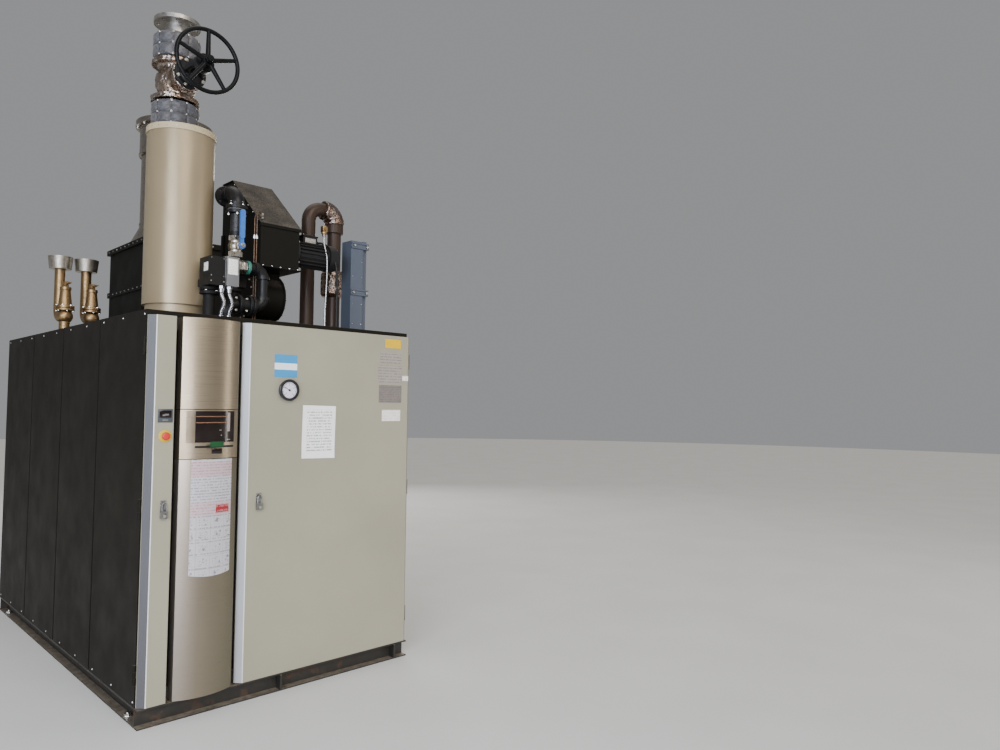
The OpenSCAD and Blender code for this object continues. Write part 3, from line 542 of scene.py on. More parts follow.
class Finishes:
    """Every finish of the boiler."""

    DOOR = SheetPaint("door_paint", (0.345, 0.328, 0.248), 0.36, 0.15, dust_share=0.3)
    # Copies of the door paint for the slanted left returns: painted shade on the left door's, painted
    # reflection of cool daylight on the main door's.
    PAINTED_SHADE_RETURN = SheetPaint("left_door_painted_shade", (0.102, 0.102, 0.112), 0.36, 0.15, dust_share=0.3)
    PAINTED_REFLECTION_RETURN = SheetPaint("main_door_painted_reflection", (0.42, 0.43, 0.45), 0.36, 0.15, dust_share=0.3)
    # A near-white strip laid along each door's fold as a painted highlight.
    FOLD_HIGHLIGHT = SheetPaint("door_fold", (0.72, 0.72, 0.73), 0.3, scuffs=0.8)
    COLUMN = HairlineSheet("column_sheet", (0.335, 0.275, 0.195), metal=0.88)
    # The lower column carries a painted highlight on its left and painted shade on its right.
    LOWER_COLUMN = HairlineSheet("lower_column_painted_sheen", (0.305, 0.262, 0.198), metal=0.88,
                                 painted_highlight=(0.43, 0.375, 0.325), deep=(0.195, 0.175, 0.125), span=(-0.620, -0.350))
    JACKET = SheetPaint("jacket_paint", (0.34, 0.268, 0.165), 0.34, 0.35)
    CAP = SheetPaint("jacket_cap", (0.52, 0.43, 0.27), 0.4)
    # Near-black, lowered to match panels standing in deep shade, so its darkness is partly painted shade; the
    # doors' outer edges and knuckles wear it as painted shade.
    WALL = SheetPaint("wall_paint", (0.010, 0.0085, 0.006), 0.55, scuffs=0.3, dust_share=0.4, shine=0.12)
    FRAME = SheetPaint("frame_paint", (0.03, 0.03, 0.028), 0.5, shine=0.3)
    DUCT = SheetPaint("duct_paint", (0.008, 0.0075, 0.0058), 0.58, dust=(0.25, 0.215, 0.18), dust_share=1.0,
                      shine=0.1, speckle=0.75)
    TRUNK = SheetPaint("trunk_paint", (0.075, 0.092, 0.125), shine=0.4)
    LAGGING = SheetPaint("lagging_sheet", (0.045, 0.028, 0.020), metal=0.3, shine=0.3)
    # Darkened to stand in for the shade in the recessed base channel: the rust is real, the near-black tone
    # is partly painted shade.
    CHANNEL = WornSteel("channel_steel", (0.020, 0.018, 0.015), (0.062, 0.034, 0.020), 0.35)
    CASING = BareMetal("casing_sheet", (0.6, 0.6, 0.6), 0.4, spangle=0.4)
    PLATED = BareMetal("latch_plating", (0.36, 0.36, 0.36), 0.3, (0.05, 0.05, 0.05), 0.6)
    BOLT = BareMetal("bolt_zinc", (0.66, 0.64, 0.60), 0.26, tarnish_share=0.3)
    FLANGE = BareMetal("flange_steel", (0.42, 0.41, 0.39), 0.4, tarnish_share=0.5)
    NICKEL = BareMetal("valve_nickel", (0.50, 0.47, 0.41), 0.28)
    HOSE = BareMetal("hose_steel", (0.44, 0.45, 0.48), 0.22, tarnish_share=0.25)
    COPPER = BareMetal("copper_tube", (0.155, 0.10, 0.068), 0.42, (0.05, 0.036, 0.03), 0.8)
    FLUE = BareMetal("flue_sheet", (0.30, 0.27, 0.23), 0.3, (0.12, 0.09, 0.05), 0.45)
    BRONZE = BareMetal("cast_bronze", (0.34, 0.22, 0.10), 0.42, tarnish_share=0.7)
    PAN = BareMetal("pan_steel", (0.42, 0.39, 0.34), 0.4, spangle=0.4)
    GAUGE = CastEnamel("gauge_case", (0.015, 0.015, 0.017), 0.3, 0.05, 0.1)
    IRON = CastEnamel("dark_enamel", (0.007, 0.007, 0.0075), dust=0.15, shine=0.28)
    WHEEL = CastEnamel("wheel_enamel", (0.003, 0.0036, 0.0042), 0.36, 0.2, 0.04, 0.16)
    ACTUATOR = CastEnamel("actuator_paint", (0.011, 0.0105, 0.010), 0.55, 0.3, 0.2, 0.15)
    MOTOR = CastEnamel("motor_paint", (0.010, 0.010, 0.011), 0.45, dust=0.3, shine=0.25)
    CLOTH = CoatedCloth("insulation_cloth", (0.085, 0.085, 0.096))
    FOIL = CrumpledFoil("heat_foil", (0.38, 0.34, 0.31), (0.27, 0.185, 0.13))
    BROWN_FOIL = CrumpledFoil("brown_foil", (0.27, 0.225, 0.20), (0.20, 0.12, 0.085))
    TAPE = TapeWrap("pipe_tape")
    PANE = Gloss("smoked_pane", (0.008, 0.004, 0.0035), 0.1)
    RED = Gloss("stop_red", (0.52, 0.022, 0.02), 0.35)
    YELLOW = Gloss("stop_yellow", (0.55, 0.37, 0.012), 0.45)
    DIAL = Gloss("dial_white", (0.66, 0.66, 0.74), 0.35)
    INK = Gloss("dial_ink", (0.012, 0.012, 0.014), 0.4)
    LEVER = Gloss("lever_vinyl", (0.030, 0.13, 0.42), 0.35, 0.3)
    PLATE = Gloss("plain_plate", (0.14, 0.14, 0.145), 0.35)
    SEAL = Gloss("seal_green", (0.03, 0.16, 0.12), 0.35)
    TAB = Gloss("tab_green", (0.02, 0.135, 0.045), 0.35)
    SCREEN = Gloss("screen_grey", (0.05, 0.058, 0.07), 0.3)
    # Amber bars on the pane: painted reflection.
    AMBER_REFLECTION = Gloss("window_painted_reflection", (0.34, 0.17, 0.10), 0.3)
    PALE = Gloss("window_pale", (0.62, 0.52, 0.48), 0.3)
    BAR = Gloss("bar_black", (0.02, 0.02, 0.02), 0.3)
    PAPER = PrintedSheet("notice_paper", (0.95, 0.95, 0.96), rows=62.0, span=(0.060, 0.218),
                         level=(1.26, 1.49), strength=0.75)
    CHART = PrintedSheet("chart_film", (0.88, 0.87, 0.92), (0.26, 0.26, 0.33),
                         bands=((1.160, 1.232, (0.86, 0.72, 0.76)), (0.968, 1.036, (0.86, 0.73, 0.77))),
                         inks=((1.160, 1.232, (0.62, 0.25, 0.32)), (0.968, 1.036, (0.62, 0.27, 0.34)),
                               (0.0, 0.960, (0.10, 0.10, 0.15))), rows=72.0, sketch=(0.0, 0.958),
                         strength=0.62)
    ETCHED = PrintedSheet("etched_plate", (0.33, 0.30, 0.27), (0.15, 0.13, 0.12), rows=60.0, rough=0.3)
    DARK_PLATE = PrintedSheet("dark_plate", (0.20, 0.175, 0.165), (0.09, 0.08, 0.075), rows=95.0, rough=0.3)
    CAUTION = PrintedSheet("plain_yellow", (0.72, 0.45, 0.004), (0.72, 0.45, 0.004), rows=10.0)
    TICKET = PrintedSheet("band_sticker", (0.86, 0.90, 0.95), rows=300.0, strength=0.0,
                          bands=((1.738, 1.80, (0.035, 0.26, 0.52)), (1.655, 1.703, (0.035, 0.26, 0.52))))
    TAG = PrintedSheet("row_tag", (0.92, 0.90, 0.84), (0.35, 0.35, 0.36), rows=110.0, strength=0.5)
    RED_TAG = PrintedSheet("red_tag", (0.58, 0.045, 0.06), (0.80, 0.70, 0.70), rows=45.0, strength=0.45)


class Shape:
    """A piece in the making, shaped with bmesh's own operators."""

    def __init__(self) -> None:
        """Starts empty."""
        self.bm = bmesh.new()

    @staticmethod
    def turned(at: Point, axis: Point) -> Matrix:
        """The matrix that puts the origin at a point and +Z along an axis."""
        return Matrix.Translation(Vector(at)) @ Vector(axis).to_track_quat("Z", "Y").to_matrix().to_4x4()

    def bevel(self, edges: Sequence, width: float) -> list:
        """Rounds edges and gives the new vertices."""
        return bmesh.ops.bevel(self.bm, geom=edges, offset=width, offset_type="OFFSET", segments=2,
                               profile=0.5, affect="EDGES", clamp_overlap=True, material=-1)["verts"]

    def bevel_sharp(self, angle: float, width: float) -> None:
        """Rounds every edge whose faces meet at more than an angle, in radians."""
        sharp = [e for e in self.bm.edges if len(e.link_faces) == 2 and e.calc_face_angle(0.0) > angle]
        self.bevel(sharp, width)

    def box(self, low: Point, high: Point, edge: float = 0.0) -> list:
        """Adds a box.

        Args:
            low: Its low corner.
            high: Its high corner.
            edge: The radius of its edges.

        Returns:
            The new vertices.
        """
        size = Vector(high) - Vector(low)
        matrix = Matrix.Translation((Vector(low) + Vector(high)) / 2) @ Matrix.Diagonal((*size, 1.0))
        verts = bmesh.ops.create_cube(self.bm, size=1.0, matrix=matrix)["verts"]
        return self.bevel(list({e for v in verts for e in v.link_edges}), edge) if edge else verts

    def rod(self, at: Point, axis: Point, radius: float, length: float, sides: int = 24,
            end: Optional[float] = None) -> None:
        """Adds a rod, cone or nut.

        Args:
            at: The middle of its first end.
            axis: The direction that it runs in.
            radius: Its radius, to the corners on a nut.
            length: Its length.
            sides: How many sides it has.
            end: The radius of the far end where it differs.
        """
        matrix = self.turned(at, axis) @ Matrix.Translation((0, 0, length / 2))
        bmesh.ops.create_cone(self.bm, cap_ends=True, segments=sides, radius1=radius,
                              radius2=radius if end is None else end, depth=length, matrix=matrix)

    def rods(self, spots: Iterable[Point], axis: Point, *sizes: float) -> None:
        """Adds the same rod at each of several spots."""
        for at in spots:
            self.rod(at, axis, *sizes)

    def lathe(self, profile: Sequence[Span], at: Point, axis: Point, steps: int) -> None:
        """Adds a turned shape.

        Args:
            profile: Pairs of radius and height, from the bottom up; a radius of zero closes an end.
            at: The turning axis's start.
            axis: The turning axis.
            steps: How many steps make the round.
        """
        verts = [self.bm.verts.new((r, 0.0, z)) for r, z in profile]
        edges = [self.bm.edges.new(pair) for pair in zip(verts, verts[1:])]
        bmesh.ops.spin(self.bm, geom=verts + edges, cent=(0, 0, 0), axis=(0, 0, 1), angle=math.tau,
                       steps=steps, use_merge=True, use_duplicate=False)
        bmesh.ops.remove_doubles(self.bm, verts=self.island(verts), dist=1e-6)
        shell = self.island([v for v in verts if v.is_valid])
        bmesh.ops.transform(self.bm, matrix=self.turned(at, axis), verts=shell)

    @staticmethod
    def island(verts: Sequence) -> list:
        """Finds every vertex that is joined to the given ones.

        Args:
            verts: The vertices to start from.

        Returns:
            They and all that edges join to them.
        """
        seen, waiting = set(verts), list(verts)
        while waiting:
            vert = waiting.pop()
            fresh = {e.other_vert(vert) for e in vert.link_edges} - seen
            seen |= fresh
            waiting += fresh
        return list(seen)

    def bolt(self, at: Point, axis: Point, size: float) -> None:
        """Adds a washer, a hexagonal head and the bolt's end.

        Args:
            at: The point on the face under the washer.
            axis: The direction that the head stands in.
            size: The head's radius to its corners.
        """
        for lift, radius, length, sides, end in ((0.0, 1.18, 0.22, 14, 1.18), (0.2, 1.0, 0.62, 6, 1.0),
                                                 (0.8, 0.5, 0.3, 10, 0.42)):
            foot = Vector(at) + Vector(axis) * size * lift
            self.rod(foot, axis, size * radius, size * length, sides, size * end)

    def bolt_circle(self, at: Point, axis: Point, radius: float, count: int, size: float,
                    start: float = 0.0) -> None:
        """Adds a ring of bolts.

        Args:
            at: The ring's middle on the face.
            axis: The direction that the heads stand in.
            radius: The ring's radius.
            count: How many bolts it has.
            size: The head's radius.
            start: The first bolt's angle, in degrees.
        """
        for way in around(count, start):
            self.bolt(self.turned(at, axis) @ (way * radius), axis, size)

    def sweep(self, path: Sequence[Vector], radius: Callable[[float], float], sides: int) -> None:
        """Adds a tube along a path.

        Args:
            path: The points that it follows.
            radius: The radius at a share of the way along.
            sides: How many sides it has.
        """
        side = Vector((1, 0, 0)) if abs((path[1] - path[0]).normalized().x) < 0.8 else Vector((0, 1, 0))
        ring, last, end = [], Matrix(), len(path) - 1
        for i, spot in enumerate(path):
            way = (path[min(i + 1, end)] - path[max(i - 1, 0)]).normalized()
            side = (side - way * side.dot(way)).normalized()
            turn = Matrix((side, way.cross(side), way)).transposed().to_4x4()
            place = Matrix.Translation(spot) @ turn @ Matrix.Diagonal((*[radius(i / end)] * 3, 1.0))
            if i == 0:
                made = bmesh.ops.create_circle(self.bm, cap_ends=True, segments=sides, radius=1.0,
                                                matrix=place)
                ring = list({e for v in made["verts"] for e in v.link_edges})
            else:
                made = bmesh.ops.extrude_edge_only(self.bm, edges=ring)["geom"]
                verts = [g for g in made if isinstance(g, bmesh.types.BMVert)]
                ring = [g for g in made if isinstance(g, bmesh.types.BMEdge)
                        and all(v in verts for v in g.verts)]
                bmesh.ops.transform(self.bm, matrix=place @ last.inverted(), verts=verts)
            last = place
        bmesh.ops.edgeloop_fill(self.bm, edges=ring)

    def tube(self, points: Sequence[Point], radius: float, steps: int, sides: int) -> None:
        """Adds an even tube along a smooth path through points.

        Args:
            points: The points that it passes.
            radius: Its radius.
            steps: Steps between two points.
            sides: How many sides it has.
        """
        known = [Vector(p) for p in points]
        known = [known[0] * 2 - known[1]] + known + [known[-1] * 2 - known[-2]]
        path = []
        for before, start, end, after in zip(known, known[1:], known[2:], known[3:]):
            pull, bend = 2 * before - 5 * start + 4 * end - after, 3 * start - before - 3 * end + after
            for t in (i / steps for i in range(steps)):
                path.append(0.5 * (2 * start + (end - before) * t + pull * t * t + bend * t ** 3))
        self.sweep(path + [Vector(points[-1])], lambda share: radius, sides)

    def set_down(self, verts: Sequence, angle: float, axis: str, at: Point) -> None:
        """Turns vertices about the origin and moves them to their place.

        Args:
            verts: The vertices.
            angle: The turn in degrees.
            axis: The turn's axis.
            at: Where the origin goes.
        """
        turn = Matrix.Rotation(math.radians(angle), 3, axis)
        bmesh.ops.rotate(self.bm, cent=(0, 0, 0), matrix=turn, verts=verts)
        bmesh.ops.translate(self.bm, vec=at, verts=verts)

    def push(self, reach: Callable[[Vector], float]) -> None:
        """Moves every vertex along its normal.

        Args:
            reach: How far it goes at a given place.
        """
        self.bm.normal_update()
        for vert, normal in [(v, v.normal.copy()) for v in self.bm.verts]:
            vert.co += normal * reach(vert.co)

    def outwards(self) -> "Shape":
        """Turns the faces outwards."""
        bmesh.ops.recalc_face_normals(self.bm, faces=self.bm.faces)
        return self

    def mesh(self, name: str, smooth: float = 40.0) -> bpy.types.Mesh:
        """Closes the shape into a mesh.

        Args:
            name: The mesh's name.
            smooth: Edges under this angle are shaded smooth, in degrees.

        Returns:
            The mesh.
        """
        for face in self.bm.faces:
            face.smooth = True
        made = bpy.data.meshes.new(name.replace(".", "_"))
        self.bm.to_mesh(made)
        self.bm.free()
        made.set_sharp_from_angle(angle=math.radians(smooth))
        return made

    def piece(self, name: str, finish: Finish, slot: str, body: Body = Body.ROOT, smooth: float = 40.0,
              node: str = "") -> bpy.types.Object:
        """Closes the shape into a piece with its faces outwards.

        Args:
            name: The piece's name.
            finish: What it is made of.
            slot: The record's material slot.
            body: The body that it rides on.
            smooth: Edges under this angle are shaded smooth, in degrees.
            node: The CAD node that it stands for, if any.

        Returns:
            The new object.
        """
        return Workshop.piece(name, self.outwards().mesh(name, smooth), finish, slot, body, node)


class Workshop:
    """Turns meshes into pieces that ride on a body and wear a finish."""

    WELD = 2e-5
    FLAT = math.radians(0.4)
    SHARP = math.radians(28)

    @staticmethod
    def piece(name: str, mesh: bpy.types.Mesh, finish: Finish, slot: str, body: Body,
              node: str = "") -> bpy.types.Object:
        """Makes an object of a finished mesh.

        Args:
            name: The piece's name.
            mesh: The mesh, already in the part's frame.
            finish: What it is made of.
            slot: The record's material slot; not used.
            body: The body that it rides on.
            node: The CAD node that it stands for, if any.

        Returns:
            The new object.
        """
        made = bpy.data.objects.new(name, mesh)
        bpy.context.scene.collection.objects.link(made)
        mesh.materials.clear()
        mesh.materials.append(finish.material())
        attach(made, body.value)
        if node:
            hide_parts(node)
        LOG.info("%s: %d faces on %s", name, len(mesh.polygons), body.value)
        return made

    @classmethod
    def stand_in(cls, node: str, name: str, mesh: bpy.types.Mesh, finish: Finish) -> bpy.types.Object:
        """Makes a piece that stands for a CAD node and rides on the node's own body; the node's slot is
        looked up and handed on, but not applied.
        """
        slot = next(s["material_slot"] for s in frame["record"]["subparts"] if s["node"] == node)
        return cls.piece(name, mesh, finish, slot, Body(frame["nodes"][node]["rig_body"]), node)

    @staticmethod
    def applied(name: str, data: bpy.types.ID, kind: str = "", **settings: object) -> bpy.types.Mesh:
        """The mesh of a curve, or of a mesh after one modifier.

        Args:
            name: The name of the object that is made for it and deleted.
            data: The curve or mesh.
            kind: The modifier's type, if any.
            settings: The modifier's properties.

        Returns:
            The new mesh.
        """
        maker = bpy.data.objects.new(name, data)
        bpy.context.scene.collection.objects.link(maker)
        modifier = maker.modifiers.new(kind, kind) if kind else None
        for key, value in settings.items():
            setattr(modifier, key, value)
        made = bpy.data.meshes.new_from_object(maker.evaluated_get(bpy.context.evaluated_depsgraph_get()))
        bpy.data.objects.remove(maker)
        return made

    @classmethod
    def soften(cls, node: str, finish: Finish, width: float = 0.0012, swell: float = 0.0) -> bpy.types.Object:
        """Stands a copy with rounded edges in for a CAD node.

        Args:
            node: The node's name.
            finish: The finish.
            width: The radius of the rounded edges, in metres.
            swell: How far the faces are moved outwards, in metres.

        Returns:
            The new piece.
        """
        copy = Shape()
        copy.bm.from_mesh(frame["nodes"][node].data)
        bmesh.ops.remove_doubles(copy.bm, verts=copy.bm.verts, dist=cls.WELD)
        bmesh.ops.dissolve_limit(copy.bm, angle_limit=cls.FLAT, verts=copy.bm.verts,
                                 edges=copy.bm.edges, delimit=set())
        copy.bevel_sharp(cls.SHARP, width)
        if swell:
            copy.push(lambda spot: swell)
        made = cls.stand_in(node, node + ".soft", copy.mesh(node + ".soft"), finish)
        made.modifiers.new("flat_faces", "WEIGHTED_NORMAL").keep_sharp = True
        return made


@dataclass
class Label:
    """A thin sheet on a flat door face.

    Attributes:
        name: The piece's name.
        span: Its left and right edges, from the cabinet's left face.
        level: Its lower and upper edges, from the doors' lower edge.
        finish: What it is made of.
        turn: How far it is turned, in degrees.
        curl: How far its lower corners stand off.
    """

    name: str
    span: Span
    level: Span
    finish: Finish
    turn: float = 0.0
    curl: float = 0.0


@dataclass
class Front:
    """The doors' and the column's small parts: labels, sheets, gauge, stop button, display and window."""

    left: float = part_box("left_side_panel")[0][0]
    face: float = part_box("main_door")[0][1]
    sill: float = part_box("main_door")[0][2]
    off_left: float = 0.030
    sheet: float = 0.0010
    cuts: int = 15
    slant: float = 0.0300
    slant_angle: float = -22.5
    fold: float = 0.0022
    dial_share: float = 0.74
    dial_depth: float = 0.6
    dial_start: float = 225.0
    dial_sweep: float = 270.0
    pointer: float = 150.0
    ticks: int = 40
    figures: int = 8
    labels: tuple[Label, ...] = (
        Label("band_sticker", (0.609, 0.741), (1.564, 1.686), Finishes.TICKET),
        Label("notice_sheet", (0.780, 0.986), (1.124, 1.414), Finishes.PAPER, 1.2, 0.006),
        Label("yellow_label", (1.323, 1.439), (1.765, 1.818), Finishes.CAUTION),
        Label("rating_plate_1", (1.288, 1.444), (1.674, 1.737), Finishes.ETCHED),
        Label("rating_plate_2", (1.277, 1.452), (1.552, 1.660), Finishes.ETCHED),
        Label("rating_plate_3", (1.282, 1.448), (1.436, 1.541), Finishes.DARK_PLATE),
        Label("row_label", (1.307, 1.441), (1.327, 1.393), Finishes.TAG),
        Label("row_tag", (1.451, 1.497), (1.572, 1.601), Finishes.TAG),
    )

    def bulge(self, x: float) -> float:
        """Finds the column's face at a place across the front.

        Args:
            x: The place.

        Returns:
            The face's own place from front to rear.
        """
        low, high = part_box("column_lower")
        half, rise = (high[0] - low[0]) / 2, self.face - low[1]
        radius = (half * half + rise * rise) / (2 * rise)
        return low[1] + radius - math.sqrt(radius * radius - (x - low[0] - half) ** 2)

    def flat_label(self, label: Label) -> None:
        """Makes one label on the main door, with its lower corners lifted where it is paper.

        Args:
            label: The label's place and finish.
        """
        (left, right), (foot, top) = label.span, label.level
        width, height = right - left, top - foot
        part = Shape()
        part.box((-width / 2, -self.sheet, -height / 2), (width / 2, 0.0002, height / 2))
        bmesh.ops.subdivide_edges(part.bm, edges=part.bm.edges, cuts=self.cuts, use_grid_fill=True)
        for vert in part.bm.verts:
            across, up = abs(vert.co.x * 2 / width), vert.co.z * 2 / height
            vert.co.y -= label.curl * (max(0.0, -up) ** 3 * across ** 4 + 0.12 * (1 - abs(up)) * across)
        at = (self.left + self.off_left + (left + right) / 2, self.face, self.sill + (foot + top) / 2)
        part.set_down(part.bm.verts, label.turn, "Y", at)
        part.piece(label.name, label.finish, "gauge_case", Body.MAIN_DOOR)

    def film(self, part: Shape, span: Point, level: Point, lift: float, thick: float,
             steps: tuple[int, int], belly: float = 0.0) -> None:
        """Lays a thin strip round the column's bulge.

        Args:
            part: The shape that it joins.
            span: Its edges across the front.
            level: Its lower and upper edges.
            lift: How far it stands off the column.
            thick: Its thickness.
            steps: Its divisions across and up.
            belly: How far its lower edge hangs lower in its middle.
        """
        made = bmesh.ops.create_grid(part.bm, x_segments=steps[0], y_segments=steps[1], size=0.5)["verts"]
        for vert in made:
            x = span[0] + (vert.co.x + 0.5) * (span[1] - span[0])
            drop = belly * (0.5 - vert.co.y) * (1 - 4 * vert.co.x ** 2)
            z = level[0] + (vert.co.y + 0.5) * (level[1] - level[0]) - drop
            vert.co = Vector((x, self.bulge(x) - lift, z))
        bmesh.ops.solidify(part.bm, geom=list({f for v in made for f in v.link_faces}), thickness=thick)

    def sheets(self) -> None:
        """Lays the long chart and the red tag on the column."""
        for name, span, level, finish, lift, belly in (
                ("chart_sheet", (0.172, 0.378), (0.588, 1.146), Finishes.CHART, 0.0012, 0.012),
                ("red_tag_sheet", (0.293, 0.365), (0.883, 0.920), Finishes.RED_TAG, 0.0018, 0.0)):
            part = Shape()
            self.film(part, [self.left + self.off_left + x for x in span], [self.sill + z for z in level],
                      lift, 0.0003, (24, 24), belly)
            part.piece(name, finish, "column_sheet")

    def window(self) -> None:
        """Fills the window: two amber bars of painted reflection, a pale strip, the bar with its tab, the
        cheek and the card slot.
        """
        low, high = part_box("display_window")
        wide, tall = high[0] - low[0], high[2] - low[2]
        lines = [(0.043 - wide, -0.036, -drop - 0.003, 0.001 - drop) for drop in (0.025, 0.055)]
        strips = [(-0.043, -0.026, -0.100, -0.007)]
        strips += [(-left, width - left, -drop - 0.0025, -drop)
                   for left, width, drop in ((0.086, 0.012, 0.092), (0.078, 0.006, 0.118),
                                             (0.044, 0.022, 0.140))]
        cheek = (-wide - 0.0005, 0.039 - wide, -tall - 0.0005, 0.0005)
        for name, finish, slot, lift, places in (
                ("window_lines", Finishes.AMBER_REFLECTION, "pane", 0.0008, lines),
                ("window_strip", Finishes.PALE, "pane", 0.0010, strips),
                ("window_bar", Finishes.BAR, "pane", 0.0030, [(-0.203, -0.004, -0.179, -0.170)]),
                ("window_tab", Finishes.TAB, "pane", 0.0040, [(-0.132, -0.061, -0.175, -0.150)]),
                ("window_cheek", Finishes.COLUMN, "column_sheet", 0.0028, [cheek])):
            part = Shape()
            for left, right, foot, top in places:
                self.film(part, (high[0] + left, high[0] + right), (high[2] + foot, high[2] + top),
                          lift - 0.002, 0.0007, (16, 1))
            part.piece(name, finish, slot)
        x, z = high[0] - 0.0975, high[2] - 0.197
        y, mouth = self.bulge(x), Shape()
        mouth.box((x - 0.0275, y - 0.0025, z - 0.013), (x + 0.0275, y + 0.004, z + 0.013), 0.006)
        mouth.piece("slot_mouth", Finishes.PANE, "pane")

    def fold_highlights(self) -> None:
        """Lays a painted highlight line along each door's fold, where its face turns back to the left."""
        low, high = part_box("main_door")
        for name, edge, body in (("left_door_fold", self.left, Body.LEFT_DOOR),
                                 ("main_door_fold", low[0], Body.MAIN_DOOR)):
            part = Shape()
            part.box((-self.fold, -self.sheet / 3, 0.001), (self.fold, self.sheet,
                                                              high[2] - self.sill - 0.001))
            part.set_down(part.bm.verts, self.slant_angle, "Z", (edge + self.slant, self.face, self.sill))
            part.piece(name, Finishes.FOLD_HIGHLIGHT, "door_paint", body)

    def gauge(self) -> None:
        """Makes the pressure gauge: case, bezel, dial with plain numbers, pointer and hub."""
        low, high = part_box("pressure_gauge")
        mid = Vector(((low[0] + high[0]) / 2, high[1], (low[2] + high[2]) / 2))
        r, deep = (high[0] - low[0]) / 2, high[1] - low[1]
        case, dial, marks = Shape(), Shape(), Shape()
        case.lathe(((0, 0), (r * 0.93, 0), (r * 0.95, deep * 0.6), (r, deep * 0.68), (r, deep - 0.003),
                    (r - 0.003, deep), (r * 0.76, deep - 0.001), (r * self.dial_share, deep - 0.006),
                    (r * self.dial_share, deep * 0.62), (0, deep * 0.62)), mid, Axis.FRONT, 72)
        case.piece("gauge_body", Finishes.GAUGE, "gauge_case", Body.MAIN_DOOR, node="pressure_gauge")
        dial.rod(mid + Vector((0, -deep * self.dial_depth, 0)), Axis.FRONT, r * self.dial_share, 0.002, 72)
        dial.piece("gauge_dial", Finishes.DIAL, "gauge_case", Body.MAIN_DOOR)
        top = mid.y - deep * self.dial_depth - 0.002
        for i in range(self.ticks + 1):
            long, wide = (0.008, 0.0011) if i % 5 == 0 else (0.0045, 0.0006)
            verts = marks.box((-wide, top - 0.0004, r * 0.70 - long), (wide, top, r * 0.70))
            turn = 90 - self.dial_start + self.dial_sweep * i / self.ticks
            marks.set_down(verts, turn, "Y", (mid.x, 0, mid.z))
        verts = marks.box((-0.0012, top - 0.0028, -0.012), (0.0012, top - 0.0018, r * 0.60), 0.0004)
        marks.set_down(verts, 90 - self.pointer, "Y", (mid.x, 0, mid.z))
        marks.rod((mid.x, top, mid.z), Axis.FRONT, 0.0055, 0.0038, 20)
        marks.piece("gauge_marks", Finishes.INK, "gauge_case", Body.MAIN_DOOR)
        for i in range(0, self.figures + 1, 2):
            angle = math.radians(self.dial_start - self.dial_sweep * i / self.figures)
            self.number(i, (mid.x + r * 0.45 * math.cos(angle), top, mid.z + r * 0.45 * math.sin(angle)))

    def number(self, step: int, spot: Point) -> None:
        """Sets a plain number on the gauge's dial.

        Args:
            step: The place on the dial, which counts by two.
            spot: The middle of the number.
        """
        name = f"gauge_number_{step}"
        text = bpy.data.curves.new(name, "FONT")
        text.body, text.size, text.extrude = str(step * 2), 0.011, 0.0002
        text.align_x = text.align_y = "CENTER"
        mesh = Workshop.applied(name + "_maker", text)
        mesh.transform(Matrix.Translation(spot) @ Matrix.Rotation(math.pi / 2, 4, "X"))
        Workshop.piece(name, mesh, Finishes.INK, "gauge_case", Body.MAIN_DOOR)

    def stop_button(self) -> None:
        """Makes the emergency stop: yellow ring, collar and red mushroom head."""
        low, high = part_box("emergency_stop")
        mid = ((low[0] + high[0]) / 2, high[1], (low[2] + high[2]) / 2)
        ring, head = Shape(), Shape()
        ring.lathe(((0, 0), (0.030, 0), (0.030, 0.003), (0.0285, 0.004), (0.014, 0.004), (0, 0.004)), mid,
                   Axis.FRONT, 48)
        ring.piece("stop_ring", Finishes.YELLOW, "stop_button", Body.LEFT_DOOR, node="emergency_stop")
        head.lathe(((0.012, 0.004), (0.012, 0.010), (0.017, 0.012), (0.0185, 0.014), (0.0185, 0.018),
                    (0.0165, 0.0205), (0.010, 0.022), (0, 0.022)), mid, Axis.FRONT, 48)
        head.piece("stop_head", Finishes.RED, "stop_button", Body.LEFT_DOOR)

    def display(self) -> None:
        """Makes the left door's small display: bezel, screen and three keys."""
        (x0, y, z0), (x1, _, z1) = low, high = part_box("left_door_display")
        bezel, screen, keys = Shape(), Shape(), Shape()
        bezel.box(low, high, 0.0015)
        bezel.piece("display_bezel", Finishes.SCREEN, "pane", Body.LEFT_DOOR, node="left_door_display")
        screen.box((x0 + 0.007, y - 0.0006, z0 + 0.022), (x1 - 0.007, y + 0.001, z1 - 0.007), 0.0004)
        screen.piece("display_screen", Finishes.PANE, "pane", Body.LEFT_DOOR)
        for share, wide, rise in ((0.40, 0.007, 0.030), (0.58, 0.010, 0.033), (0.49, 0.013, 0.007)):
            x, z = x0 + (x1 - x0) * share, z0 + rise
            keys.box((x - wide, y - 0.0012, z), (x + wide, y + 0.001, z + 0.008), 0.0008)
        keys.piece("display_keys", Finishes.PLATE, "pane", Body.LEFT_DOOR)

    def build(self) -> None:
        """Builds everything on the front."""
        for label in self.labels:
            self.flat_label(label)
        for step in (self.sheets, self.window, self.fold_highlights, self.gauge, self.stop_button, self.display):
            step()


